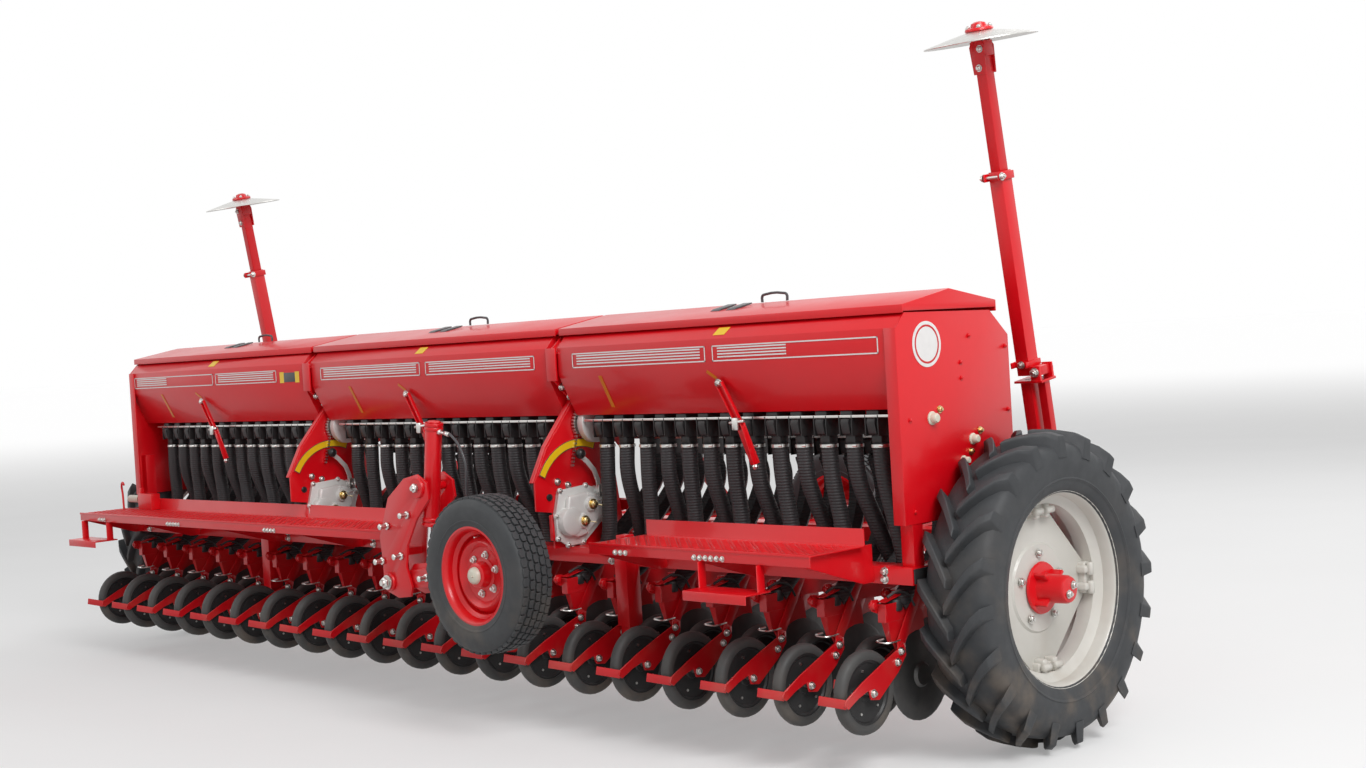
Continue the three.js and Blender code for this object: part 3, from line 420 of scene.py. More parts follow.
def plate(outline, axis, span, edge=0.0015, segments=2):
    """An outline drawn across an axis, and pulled out along that axis over a span."""
    bpy.ops.object.select_all(action="DESELECT")
    bpy.ops.mesh.primitive_circle_add(vertices=len(outline), fill_type="NGON")
    piece = bpy.context.active_object
    layouts = {"X": lambda a, b: (span[0], a, b), "Y": lambda a, b: (a, span[0], b),
               "Z": lambda a, b: (a, b, span[0])}
    for vertex, (a, b) in zip(piece.data.vertices, outline):
        vertex.co = layouts[axis](a, b)
    pull = Vector([(span[1] - span[0]) * (letter == axis) for letter in "XYZ"])
    edit(piece)
    bpy.ops.mesh.extrude_region_move(TRANSFORM_OT_translate={"value": pull})
    bpy.ops.mesh.select_all(action="SELECT")
    bpy.ops.mesh.normals_make_consistent(inside=False)
    piece = leave()
    return rounded(piece, edge, segments) if edge else piece


def ribbon(line, width, axis, span, edge=0.0008):
    """A flat strip of one width that follows a line drawn across an axis."""
    left, right = [], []
    for i, point in enumerate(line):
        run = Vector(line[min(i + 1, len(line) - 1)]) - Vector(line[max(i - 1, 0)])
        side = Vector((-run.y, run.x)).normalized() * (width / 2)
        left.append(tuple(Vector(point) + side))
        right.append(tuple(Vector(point) - side))
    return plate(left + right[::-1], axis, span, edge, 1)


def arc_line(centre, radius, start, stop, steps):
    angles = [start + (stop - start) * i / steps for i in range(steps + 1)]
    return [(centre[0] + radius * math.cos(angle), centre[1] + radius * math.sin(angle)) for angle in angles]


def between(start, end, roll=None):
    """The matrix that turns +Z from start towards end, with +X as near as may be to roll."""
    along = (Vector(end) - Vector(start)).normalized()
    side = Vector(roll) if roll else (Vector((1, 0, 0)) if abs(along.x) < 0.9 else Vector((0, 1, 0)))
    depth = along.cross(side).normalized()
    turn = Matrix((depth.cross(along), depth, along)).transposed().to_4x4()
    return Matrix.Translation(start) @ turn


def bar(start, end, width, depth, edge=0.002, roll=None):
    """A flat or square bar from one point to another, width along roll and depth across it."""
    length = (Vector(end) - Vector(start)).length
    piece = block((-width / 2, -depth / 2, 0), (width / 2, depth / 2, length), edge)
    piece.data.transform(between(start, end, roll))
    return piece


def rod(start, end, radius, sides=16, edge=0.0):
    length = (Vector(end) - Vector(start)).length
    bpy.ops.object.select_all(action="DESELECT")
    bpy.ops.mesh.primitive_cylinder_add(vertices=sides, radius=radius, depth=length,
                                        location=(0, 0, length / 2))
    piece = fixed(bpy.context.active_object)
    piece.data.transform(between(start, end))
    if edge:
        return rounded(piece, edge, 1, 1.0)
    pick(piece)
    bpy.ops.object.shade_smooth_by_angle(angle=0.7)
    return piece


def turned(profile, sides, centre=(0, 0, 0), axis="X", angle=0.7):
    """A closed profile of (radius, distance along the axis), spun round the axis."""
    bpy.ops.object.select_all(action="DESELECT")
    bpy.ops.mesh.primitive_circle_add(vertices=len(profile), fill_type="NOTHING")
    piece = bpy.context.active_object
    for vertex, (radius, along) in zip(piece.data.vertices, profile):
        vertex.co = (along, radius, 0)
    edit(piece)
    bpy.ops.mesh.spin(steps=sides, angle=math.tau, center=(0, 0, 0), axis=(1, 0, 0))
    bpy.ops.mesh.select_all(action="SELECT")
    bpy.ops.mesh.remove_doubles(threshold=0.00005)
    bpy.ops.mesh.normals_make_consistent(inside=False)
    piece = leave()
    turns = {"X": Matrix(), "Y": Matrix.Rotation(math.pi / 2, 4, "Z"),
             "Z": Matrix.Rotation(-math.pi / 2, 4, "Y")}
    piece.data.transform(Matrix.Translation(centre) @ turns[axis])
    pick(piece)
    bpy.ops.object.shade_smooth_by_angle(angle=angle)
    return piece


def hose(points, radius, sides=10, steps=6):
    """A round tube along a smooth curve through the points, with closed ends."""
    route = bpy.data.curves.new("route", "CURVE")
    route.dimensions = "3D"
    route.bevel_depth = radius
    route.bevel_resolution = max(0, sides // 4 - 1)
    route.resolution_u = steps
    route.use_fill_caps = True
    spline = route.splines.new("BEZIER")
    spline.bezier_points.add(len(points) - 1)
    for knot, point in zip(spline.bezier_points, points):
        knot.co = point
        knot.handle_left_type = knot.handle_right_type = "AUTO"
    piece = bpy.data.objects.new("hose", route)
    bpy.context.collection.objects.link(piece)
    pick(piece)
    bpy.ops.object.convert(target="MESH")
    bpy.ops.object.shade_smooth_by_angle(angle=1.0)
    return bpy.context.active_object


def smooth_route(knots, steps):
    """Points close together on a smooth curve through the knots."""
    knots = [Vector(knot) for knot in knots]
    ends = [knots[0] * 2 - knots[1], *knots, knots[-1] * 2 - knots[-2]]
    route = []
    for before, first, second, after in zip(ends, ends[1:], ends[2:], ends[3:]):
        for i in range(steps):
            t = i / steps
            route.append(0.5 * (2 * first + (second - before) * t
                                + (2 * before - 5 * first + 4 * second - after) * t ** 2
                                + (3 * first - before - 3 * second + after) * t ** 3))
    return route + [knots[-1]]


def joined(*pieces):
    if len(pieces) > 1:
        pick(*pieces)
        bpy.ops.object.join()
    return pieces[0]


def copies(pattern, spots):
    """The pattern at every one of the matrices, as one piece. The pattern itself goes."""
    made = []
    for spot in spots:
        mesh = pattern.data.copy()
        mesh.transform(spot)
        if spot.determinant() < 0:
            mesh.flip_normals()
        made.append(bpy.data.objects.new("copy", mesh))
        bpy.context.collection.objects.link(made[-1])
    bpy.data.objects.remove(pattern)
    return joined(*made)


def shifted(x=0.0, y=0.0, z=0.0):
    return Matrix.Translation((x, y, z))


MIRROR_X = Matrix.Diagonal((-1, 1, 1, 1))
FACINGS = {"+X": (1, 0, 0), "-X": (-1, 0, 0), "+Y": (0, 1, 0), "-Y": (0, -1, 0), "+Z": (0, 0, 1),
           "-Z": (0, 0, -1)}


def bolts(spots, size=0.009):
    """Hexagon bolt heads on washers, each at (place, facing), where size is the thread's radius."""
    washer = rod((0, 0, 0), (0, 0, size * 0.35), size * 2.1, 14)
    head = rod((0, 0, size * 0.35), (0, 0, size * 1.6), size * 1.65, 6, size * 0.18)
    stub = rod((0, 0, size * 1.5), (0, 0, size * 2.3), size * 0.85, 8)
    master = joined(washer, head, stub)
    up = Vector((0, 0, 1))
    places = []
    for place, facing in spots:
        way = Vector(FACINGS.get(facing, facing))
        places.append(shifted(*place) @ up.rotation_difference(way).to_matrix().to_4x4())
    return copies(master, places)


def settle(piece, name, body, finish, slot, *replaced):
    """Names a finished piece, moves it to the footprint's middle, and puts it on its body.

    "hoses" is for what hangs between frame and coulters, and None for a piece whose maker bakes it.
    """
    piece.name = name
    piece.data.name = name
    piece.data.materials.clear()
    piece.data.materials.append(finish)
    piece.data.transform(shifted(y=FOOTPRINT_SHIFT))
    if body == "hoses":
        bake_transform(piece)
    elif body:
        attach(piece, body)
    if replaced:
        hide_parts(*replaced)
    return piece


CAD_SLOTS = {part["node"]: part["material_slot"] for part in frame["record"]["subparts"]}


def dressed(node, finish, edge=0.003):
    """A CAD node's own shape with its edges rounded, in a detailed finish."""
    source = frame["nodes"][node]
    piece = bpy.data.objects.new(node, source.data.copy())
    bpy.context.collection.objects.link(piece)
    edit(piece)
    bpy.ops.mesh.remove_doubles(threshold=0.00002)
    bpy.ops.mesh.dissolve_limited(angle_limit=0.02)
    leave()
    piece.data.transform(shifted(y=-FOOTPRINT_SHIFT))
    rounded(piece, edge)
    return settle(piece, node + "_finished", source["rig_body"], finish, CAD_SLOTS[node], node)


# ---- sheet metal and steelwork that keeps the CAD shape ----------------------------------------------------

for node in ("main_frame", "axle_right", "axle_left", "rear_leg_right", "rear_leg_left", "drawbar",
             "hopper_left", "hopper_centre", "hopper_right", "lid_left", "lid_centre", "lid_right",
             "end_plate_right", "end_plate_left", "divider_right", "divider_left", "step_right", "step_left",
             "transport_bracket_rear", "transport_bracket_front", "transport_arm_rear", "transport_arm_front",
             "transport_cylinder_rear", "transport_cylinder_front", "marker_mast_right", "marker_mast_left",
             "marker_arm_right", "marker_arm_left", "marker_extension_right", "marker_extension_left"):
    dressed(node, RED)
for side, _ in SIDES:
    dressed("footboard_" + side, CHEQUER_RED, 0.0012)
for end, _ in ENDS:
    dressed("transport_rod_" + end, CHROME, 0.001)
dressed("jack_leg", ZINC)

# ---- drive wheels ------------------------------------------------------------------------------------------

LUGS = 20
LUG_LEAN = 0.3
LUG_RADIUS = 0.612
TREAD_RADIUS = 0.574
TYRE_HALF_WIDTH = 0.1425


def carcass_radius(x):
    """The tyre's tread face between its lugs, which falls away to the shoulders."""
    return TREAD_RADIUS - 0.03 * (abs(x) / TYRE_HALF_WIDTH) ** 2.4


def drive_tyre_shape():
    half = [(0.372, 0.112), (0.392, 0.128), (0.43, 0.139), (0.48, TYRE_HALF_WIDTH), (0.52, 0.139),
            (0.544, 0.129)]
    crown = [(carcass_radius(x), x) for x in (0.11, 0.075, 0.035, 0.0)]
    outer = half + crown
    profile = outer + [(radius, -x) for radius, x in reversed(outer[:-1])]
    carcass = turned(profile + [(0.366, -0.1), (0.366, 0.1)], 60)
    ring = turned([(0.415, 0.1355), (0.424, 0.1415), (0.43, 0.1385), (0.428, 0.13)], 60)
    rings = copies(ring, [Matrix(), MIRROR_X])

    bpy.ops.object.select_all(action="DESELECT")
    bpy.ops.mesh.primitive_cube_add(size=2)
    lug = fixed(bpy.context.active_object)
    edit(lug)
    bpy.ops.mesh.subdivide(number_cuts=3)
    leave()
    for vertex in lug.data.vertices:
        reach, across, height = (value * 0.5 + 0.5 for value in vertex.co)
        x = -0.006 + 0.146 * reach
        foot = carcass_radius(x) - 0.012 - 0.03 * reach ** 6
        tip = LUG_RADIUS - 0.012 * reach ** 2 - 0.012 * max(0.0, reach - 0.85) / 0.15
        radius = foot + (tip - foot) * height
        width = (0.027 + 0.006 * reach) * (1 - 0.34 * height)
        angle = LUG_LEAN * (reach - 0.25 * reach ** 2) / 0.75 + (across - 0.5) * 2 * width / 0.6
        x += 0.004 * (1 - height) * (1 if reach > 0.8 else 0)
        vertex.co = (x, -radius * math.cos(angle), radius * math.sin(angle))
    edit(lug)
    bpy.ops.mesh.normals_make_consistent(inside=False)
    leave()
    rounded(lug, 0.003, 1, 0.7)
    step = math.tau / LUGS
    spots = [Matrix.Rotation(-step * i, 4, "X") for i in range(LUGS)]
    spots += [MIRROR_X @ Matrix.Rotation(-step * (i + 0.5), 4, "X") for i in range(LUGS)]
    return joined(carcass, rings, copies(lug, spots))


def drive_rim_shape():
    lip = [(0.39, 0.126), (0.395, 0.118), (0.388, 0.113), (0.376, 0.116), (0.368, 0.104), (0.366, 0.06),
           (0.35, 0.045), (0.332, 0.035)]
    outer = lip + [(radius, -x) for radius, x in reversed(lip)]
    inner = [(radius - 0.007, x * 0.93) for radius, x in reversed(outer)]
    barrel = turned(outer + inner, 64)
    corners = []
    for quarter in range(4):
        middle = math.pi / 2 * quarter
        for offset in (-0.2, -0.08, 0.08, 0.2):
            corners.append((0.325 * math.cos(middle + offset), 0.325 * math.sin(middle + offset)))
    disc = plate(corners, "X", (-0.018, -0.010), 0.002)
    dish = turned([(0.05, -0.024), (0.17, -0.02), (0.178, -0.012), (0.168, -0.002), (0.05, 0.004)], 48)
    parts = [barrel, disc, dish]
    for quarter in range(4):
        turn = Matrix.Rotation(math.pi / 2 * quarter, 4, "X")
        lug = joined(block((-0.03, 0.285, -0.062), (0.02, 0.325, 0.062), 0.008, 3),
                     block((-0.018, 0.27, -0.05), (0.034, 0.326, -0.018), 0.01, 3),
                     block((-0.018, 0.27, 0.018), (0.034, 0.326, 0.05), 0.01, 3),
                     rod((0.036, 0.3, -0.062), (0.036, 0.3, -0.012), 0.014, 12, 0.003),
                     rod((0.036, 0.3, 0.012), (0.036, 0.3, 0.062), 0.014, 12, 0.003))
        lug.data.transform(turn)
        parts.append(lug)
    return joined(*parts)


def drive_hub_shape():
    flange = turned([(0.036, 0.004), (0.098, 0.004), (0.102, 0.01), (0.098, 0.018), (0.062, 0.022),
                     (0.056, 0.04), (0.054, 0.125), (0.048, 0.136), (0.02, 0.14), (0.0, 0.14), (0.0, 0.1),
                     (0.036, 0.09)], 32)
    ribs = [block((0.012, -0.007, 0.05), (0.07, 0.007, 0.088), 0.004) for _ in range(4)]
    for i, rib in enumerate(ribs):
        rib.data.transform(Matrix.Rotation(math.pi / 2 * i + 0.78, 4, "X"))
    return joined(flange, *ribs)


for side, sign in SIDES:
    place = shifted(sign * WHEEL_X, AXLE_Y, AXLE_Z) @ (Matrix() if sign > 0 else MIRROR_X)
    body = "drive_wheel_" + side
    settle(copies(drive_tyre_shape(), [place]), "drive_tyre_lugged_" + side, body, DRIVE_RUBBER, "tyre",
           "drive_tyre_" + side)
    settle(copies(drive_rim_shape(), [place]), "drive_rim_dished_" + side, body, RIM_WHITE, "rim_paint",
           "drive_rim_" + side)
    settle(copies(drive_hub_shape(), [place]), "drive_hub_" + side, body, RED, "red_paint")
    studs = [((0.006, 0.135 * math.cos(a), 0.135 * math.sin(a)), "+X") for a in (0.35, 1.6, 2.85, 4.1, 5.35)]
    studs += [((0.14, 0.022 * math.cos(a), 0.022 * math.sin(a)), "+X") for a in (0.8, 3.9)]
    settle(copies(bolts(studs, 0.008), [place]), "drive_wheel_bolts_" + side, body, ZINC, "zinc")

# ---- coulters ----------------------------------------------------------------------------------------------

PRESS_HUB = (-0.724, 0.32)
DISC_HUB = (-0.39, 0.33)
PIVOT = (0.25, 0.6)


def coulter_red_shape():
    """The pressed boot, the side bar that bends out round the press wheel, and its scraper foot."""
    boot = block((-0.026, -0.6, 0.475), (0.02, -0.43, 0.625), 0)
    for vertex in boot.data.vertices:
        if vertex.co.z < 0.5:
            vertex.co.y = -0.535 + (vertex.co.y + 0.515) * 0.3
            vertex.co.x *= 0.45
    edit(boot, lambda face: face.normal.z > 0.9)
    bpy.ops.mesh.inset(thickness=0.004)
    bpy.ops.mesh.extrude_region_move(TRANSFORM_OT_translate={"value": (0, 0, -0.07)})
    leave()
    rounded(boot, 0.0015, 1)
    tab = plate([(-0.622, 0.6), (-0.634, 0.622), (-0.622, 0.642), (-0.585, 0.64), (-0.57, 0.61),
                 (-0.585, 0.585)], "X", (-0.03, -0.024), 0.001, 1)
    boss = rod((-0.04, -0.614, 0.62), (-0.014, -0.614, 0.62), 0.015, 12, 0.002)
    gusset = bar((-0.002, -0.595, 0.632), (-0.002, -0.425, 0.662), 0.036, 0.004, 0)
    upper = bar((0.025, -0.392, 0.672), (0.025, -0.53, 0.468), 0.006, 0.046, 0.0015)
    neck = bar((0.025, -0.524, 0.476), (0.041, -0.546, 0.432), 0.006, 0.048, 0.0015)
    lower = plate([(-0.531, 0.47), (-0.52, 0.43), (-0.572, 0.372), (-0.69, 0.29), (-0.738, 0.298),
                   (-0.75, 0.334), (-0.806, 0.316), (-0.866, 0.286), (-0.884, 0.3), (-0.876, 0.322),
                   (-0.78, 0.37), (-0.65, 0.424)], "X", (0.038, 0.044), 0.0012, 1)
    foot = bar((0.042, -0.874, 0.305), (-0.046, -0.926, 0.322), 0.006, 0.034, 0.0012, roll=(-0.5, 0.86, 0))
    blade = plate([(-0.56, 0.5), (-0.43, 0.61), (-0.36, 0.57), (-0.335, 0.34), (-0.38, 0.31), (-0.51, 0.42)],
                  "X", (-0.004, 0.004), 0)
    return joined(boot, tab, boss, gusset, upper, neck, lower, foot, blade)


def drag_arm_shape(ahead):
    """The arm from the pivot shaft back to the boot."""
    start = PIVOT[0] - ahead
    cheeks = [plate([(start + 0.03, 0.57), (start + 0.034, 0.62), (-0.3, 0.652), (-0.44, 0.66), (-0.47, 0.6),
                     (-0.3, 0.592)], "X", (x - 0.002, x + 0.002), 0) for x in (-0.017, 0.017)]
    web = bar((0, start - 0.03, 0.6), (0, -0.44, 0.625), 0.034, 0.05, 0.002)
    eye = rod((-0.024, start, PIVOT[1]), (0.024, start, PIVOT[1]), 0.036, 14, 0.002)
    lug = plate([(-0.2, 0.64), (-0.17, 0.71), (-0.13, 0.71), (-0.1, 0.64)], "X", (-0.012, -0.008), 0)
    return joined(*cheeks, web, eye, lug)


def press_wheel_shape():
    """A narrow rubber tyre with a rounded tread on a flat plastic centre."""
    profile = [(0.118, 0.016), (0.12, 0.021), (0.131, 0.0245), (0.144, 0.023), (0.152, 0.017),
               (0.156, 0.007), (0.156, -0.007), (0.152, -0.017), (0.144, -0.023), (0.131, -0.0245),
               (0.12, -0.021), (0.118, -0.016)]
    return turned(profile, 36, (0, *PRESS_HUB))


def press_centre_shape():
    profile = [(0.0, 0.012), (0.03, 0.012), (0.034, 0.007), (0.106, 0.01), (0.112, 0.017), (0.119, 0.018),
               (0.119, -0.018), (0.112, -0.017), (0.106, -0.01), (0.034, -0.007), (0.03, -0.012),
               (0.0, -0.012)]
    return turned(profile, 30, (0, *PRESS_HUB))


def disc_shape():
    """A pair of cutting discs, drawn as one flat disc with a thin edge and a boss on each side."""
    profile = [(0.0, 0.02), (0.04, 0.02), (0.05, 0.009), (0.165, 0.006), (0.175, 0.002), (0.175, -0.002),
               (0.165, -0.006), (0.05, -0.009), (0.04, -0.02), (0.0, -0.02)]
    return turned(profile, 30, (0, *DISC_HUB))


def coulter_bolt_shape():
    """Plated fasteners of one coulter: hub nut, arm bolts, axle and wheel rivets. The boot's wire catch is
    drawn by boot_catch_shape.
    """
    hub_bolts = bolts([((0.044, *PRESS_HUB), "+X"), ((0.044, -0.576, 0.41), "+X"),
                       ((0.044, -0.553, 0.447), "+X")], 0.0075)
    axle = rod((-0.03, *PRESS_HUB), (0.05, *PRESS_HUB), 0.01, 10)
    rivets = []
    for i in range(5):
        angle = math.tau * i / 5 + 0.5
        y = PRESS_HUB[0] + 0.082 * math.cos(angle)
        z = PRESS_HUB[1] + 0.082 * math.sin(angle)
        rivets.append(rod((-0.013, y, z), (0.013, y, z), 0.0055, 6))
    return joined(hub_bolts, axle, *rivets)


def boot_catch_shape():
    return hose([(-0.02, -0.57, 0.49), (-0.026, -0.606, 0.486), (0.0, -0.612, 0.484), (0.026, -0.6, 0.482),
                 (0.026, -0.53, 0.484)], 0.0035, 4, 2)


def coulter_guard_shape():
    """The black hose bend and collar that lead seed into the boot."""
    collar = rod((-0.003, -0.515, 0.59), (-0.003, -0.515, 0.635), 0.029, 14, 0.003)
    arch = hose([(0.03, -0.44, 0.6), (0.03, -0.47, 0.645), (0.03, -0.53, 0.668), (0.02, -0.585, 0.65)],
                0.006, 6, 3)
    return joined(collar, arch)


def lift_x(centre, row):
    """Where a coulter's lift rod and spring stand: a little towards the bank's middle, clear of the frame."""
    return centre + row * ROW_PITCH - math.copysign(LIFT_INSET, row)


def lift_rod_shape():
    """Plated rod that hangs a coulter from the lifting shaft, with its nut."""
    stem = rod((0.0, -0.15, 0.68), (0.0, -0.17, 0.9), 0.0055, 8)
    nut = rod((0.0, -0.168, 0.885), (0.0, -0.17, 0.9), 0.012, 6)
    return joined(stem, nut)


def spring_shape():
    points = []
    turns, steps = 7, 8
    for i in range(turns * steps + 1):
        angle = math.tau * i / steps
        share = i / (turns * steps)
        points.append((0.017 * math.cos(angle), -0.153 - 0.015 * share + 0.017 * math.sin(angle),
                       0.71 + 0.145 * share))
    return hose(points, 0.0032, 4, 1)


def row_spots(centre, ahead_only=None):
    spots = []
    for row in ROWS:
        rear = is_rear_row(centre, row)
        if ahead_only is None or ahead_only == (not rear):
            beside_leg = centre < 0 and row == LEG_ROW
            give = LEG_GIVE if beside_leg else 0.0
            spots.append(shifted(centre + row * ROW_PITCH - give, 0 if rear else ROW_STAGGER))
    return spots


for bank, centre in BANKS:
    spots = row_spots(centre)
    level = [shifted(lift_x(centre, row)) for row in ROWS]
    red = joined(copies(coulter_red_shape(), spots),
                 copies(drag_arm_shape(0), row_spots(centre, False)),
                 copies(drag_arm_shape(ROW_STAGGER), row_spots(centre, True)))
    settle(red, "coulter_arms_" + bank, "coulters", COULTER_RED, "red_paint", "coulter_bank_" + bank)
    settle(copies(press_wheel_shape(), spots), "press_tyres_" + bank, "coulters", PRESS_RUBBER,
           "press_rubber")
    black = joined(copies(press_centre_shape(), spots), copies(coulter_guard_shape(), spots))
    settle(black, "press_wheel_centres_" + bank, "coulters", BLACK_PLASTIC, "black_plastic")
    settle(copies(disc_shape(), spots), "coulter_discs_" + bank, "coulters", DISC_STEEL, "zinc")
    plated = joined(copies(coulter_bolt_shape(), spots), copies(boot_catch_shape(), spots),
                    copies(lift_rod_shape(), level), copies(spring_shape(), level))
    settle(plated, "coulter_fasteners_" + bank, "coulters", ZINC, "zinc")
    low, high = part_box("coulter_bank_" + bank)
    shaft = rod((low.x, *PIVOT), (high.x, *PIVOT), 0.025, 20, 0.002)
    settle(shaft, "coulter_pivot_shaft_" + bank, "coulters", ZINC, "zinc")

# ---- metering units and seed tubes -------------------------------------------------------------------------


def meter_housing_shape(y, top):
    """A moulded seed cup: a neck under the hopper, a round roller case and a spout."""
    neck = block((-0.03, y - 0.042, top - 0.034), (0.03, y + 0.042, top - 0.002), 0.004)
    case = rod((-0.027, y - 0.004, top - 0.056), (0.027, y - 0.004, top - 0.056), 0.039, 20, 0.003)
    body = block((-0.03, y - 0.036, top - 0.1), (0.03, y + 0.03, top - 0.05), 0.006)
    spout = block((-0.026, y - 0.026, top - 0.132), (0.026, y + 0.026, top - 0.09), 0.008)
    flap = plate([(y - 0.052, top - 0.034), (y - 0.056, top - 0.05), (y - 0.046, top - 0.092),
                  (y - 0.034, top - 0.098), (y - 0.034, top - 0.03)], "X", (-0.02, 0.02), 0.002)
    ribs = [block((x - 0.0025, y - 0.05, top - 0.1), (x + 0.0025, y + 0.03, top - 0.02), 0.0012)
            for x in (-0.031, 0.031)]
    return joined(neck, case, body, spout, flap, *ribs)


def tube_route(centre, row):
    start = centre + row * METER_PITCH
    end = centre + row * ROW_PITCH
    rear = is_rear_row(centre, row)

    def at(share):
        return start + (end - start) * share

    if rear:
        bends = [(at(0.3), -0.378, 0.9), (at(0.55), -0.374, 0.765), (at(0.85), -0.4, 0.69),
                 (end, -0.452, 0.648), (end, -0.5, 0.61)]
    else:
        bends = [(at(0.3), -0.335, 0.9), (at(0.55), -0.285, 0.765), (at(0.9), -0.225, 0.69),
                 (end, -0.235, 0.64), (end, -0.25, 0.61)]
    return [(start, METER_Y, 1.21), (at(0.08), METER_Y + 0.002, 1.08), *bends]


def clamp_shape():
    """A worm-drive hose clamp, bright against the tube."""
    band = turned([(0.0352, -0.006), (0.0372, -0.006), (0.0372, 0.006), (0.0352, 0.006)], 18,
                  (0, METER_Y, 1.2), "Z")
    screw = rod((0.012, METER_Y - 0.03, 1.2), (0.03, METER_Y - 0.024, 1.2), 0.005, 8)
    return joined(band, screw)


for bank, centre in BANKS:
    cups = [shifted(centre + row * METER_PITCH) for row in ROWS]
    settle(copies(meter_housing_shape(METER_Y, METER_TOP), cups), "fertiliser_cups_" + bank, "frame",
           BLACK_PLASTIC, "black_plastic", "fertiliser_meters_" + bank)
    settle(copies(meter_housing_shape(GRAIN_METER_Y, GRAIN_METER_TOP), cups), "grain_cups_" + bank, "frame",
           BLACK_PLASTIC, "black_plastic", "grain_meters_" + bank)
    half = METER_PITCH * 6 + 0.09
    shafts = []
    for y, top in ((METER_Y, METER_TOP), (GRAIN_METER_Y, GRAIN_METER_TOP)):
        start, stop = (centre - half, y - 0.044, top - 0.024), (centre + half, y - 0.044, top - 0.024)
        shafts.append(bar(start, stop, 0.01, 0.01, 0.0015, roll=(0, 1, 0)))
    clamps = copies(clamp_shape(), cups)
    settle(joined(*shafts, clamps), "metering_shafts_" + bank, "frame", ZINC, "zinc")
    tubes = [hose(tube_route(centre, row), HOSE_RADIUS, 12, 7) for row in ROWS]
    settle(joined(*tubes), "seed_hoses_" + bank, "hoses", HOSE, "black_plastic", "seed_tubes_" + bank)
    grain = []
    for row in ROWS:
        x = centre + row * METER_PITCH
        foot = centre + row * ROW_PITCH - 0.03
        lean = GRAIN_HOSE_LEAN[bank]
        grain.append(hose([(x, GRAIN_METER_Y - 0.01, 1.13), (x + lean * 0.5, -0.13, 1.06),
                           ((x + foot) / 2 + lean, -0.19, 0.93), (foot + lean * 0.7, -0.26, 0.79),
                           (foot, -0.32, 0.69)], GRAIN_HOSE_RADIUS, 8, 5))
    settle(joined(*grain), "grain_hoses_" + bank, "hoses", HOSE, "black_plastic")

# ---- hopper fittings ---------------------------------------------------------------------------------------

HOPPER_MIDDLES = (("left", -1.986), ("centre", 0.0), ("right", 1.986))


def stripe_panel(x0, x1, striped_to, y=BAND_Y - 0.0012, low=1.553, high=1.618):
    """A white outlined panel on the hopper's band, with stripes over its first part."""
    edge = 0.005
    parts = [block((x0, y - FILM, low), (x1, y, low + edge), 0),
             block((x0, y - FILM, high - edge), (x1, y, high), 0),
             block((x0, y - FILM, low), (x0 + edge, y, high), 0),
             block((x1 - edge, y - FILM, low), (x1, y, high), 0)]
    for i in range(4):
        z = low + 0.015 + i * 0.0118
        parts.append(block((x0 + 0.03, y - FILM, z), (striped_to, y, z + 0.0056), 0))
    return joined(*parts)


PANELS = {
    "left": ((-2.89, -1.97, -2.5), (-1.94, -1.3, -1.33)),
    "centre": ((-0.87, 0.0, -0.03), (0.045, 0.87, 0.84)),
    "right": ((1.13, 1.955, 1.925), (1.995, 2.86, 2.4)),
}
for hopper, middle in HOPPER_MIDDLES:
    low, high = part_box("hopper_" + hopper)
    prints = [stripe_panel(x0, x1, stop) for x0, x1, stop in PANELS[hopper]]
    settle(joined(*prints), "band_stripes_" + hopper, "frame", WHITE, "rim_paint")
    handle = hose([(middle + 0.01, -0.225, 1.786), (middle + 0.012, -0.225, 1.812),
                   (middle + 0.03, -0.225, 1.818), (middle + 0.13, -0.225, 1.818),
                   (middle + 0.148, -0.225, 1.812), (middle + 0.15, -0.225, 1.786)], 0.006, 8, 3)
    straps = [plate([(-0.345, 1.762), (-0.33, 1.77), (-0.235, 1.789), (-0.235, 1.784), (-0.345, 1.757)], "X",
                    (middle - 0.18 + shift, middle - 0.13 + shift), 0.001) for shift in (0, 0.09)]
    settle(joined(handle, *straps), "lid_handle_" + hopper, "lid_" + hopper, GREY, "black_plastic")

# ---- transport wheels --------------------------------------------------------------------------------------

ROAD_BLOCKS = 52
RIB_PITCH = 0.031


def road_tyre_shape():
    """A road tyre with smooth sides and five ribs of blocks, parted by zigzag grooves."""
    half = [(0.19, 0.07), (0.197, 0.08), (0.214, 0.0885), (0.25, 0.094), (0.285, 0.0925), (0.308, 0.086),
            (0.3185, 0.078), (0.3225, 0.064)]
    profile = half + [(0.3225, 0.0)] + [(radius, -x) for radius, x in reversed(half)]
    carcass = turned(profile, 72)
    ring = turned([(0.222, 0.088), (0.227, 0.0925), (0.233, 0.0937), (0.236, 0.0915), (0.23, 0.086)], 72)
    rings = copies(ring, [Matrix(), MIRROR_X])
    half_width, half_length, zigzag = 0.0108, 0.0164, 0.0036
    block_line = [(-half_width, -half_length), (half_width, -half_length), (half_width + zigzag, 0),
                  (half_width, half_length), (-half_width, half_length), (-half_width + zigzag, 0)]
    tread = plate(block_line, "Z", (0.315, 0.3325), 0.0008, 1)
    spots = []
    for rib in range(-2, 3):
        drop = 0.0035 if abs(rib) == 2 else 0.0
        for i in range(ROAD_BLOCKS):
            turn = Matrix.Rotation(math.tau * (i + rib * 0.35) / ROAD_BLOCKS, 4, "X")
            spots.append(turn @ shifted(rib * RIB_PITCH, 0, -drop))
    return joined(carcass, rings, copies(tread, spots))


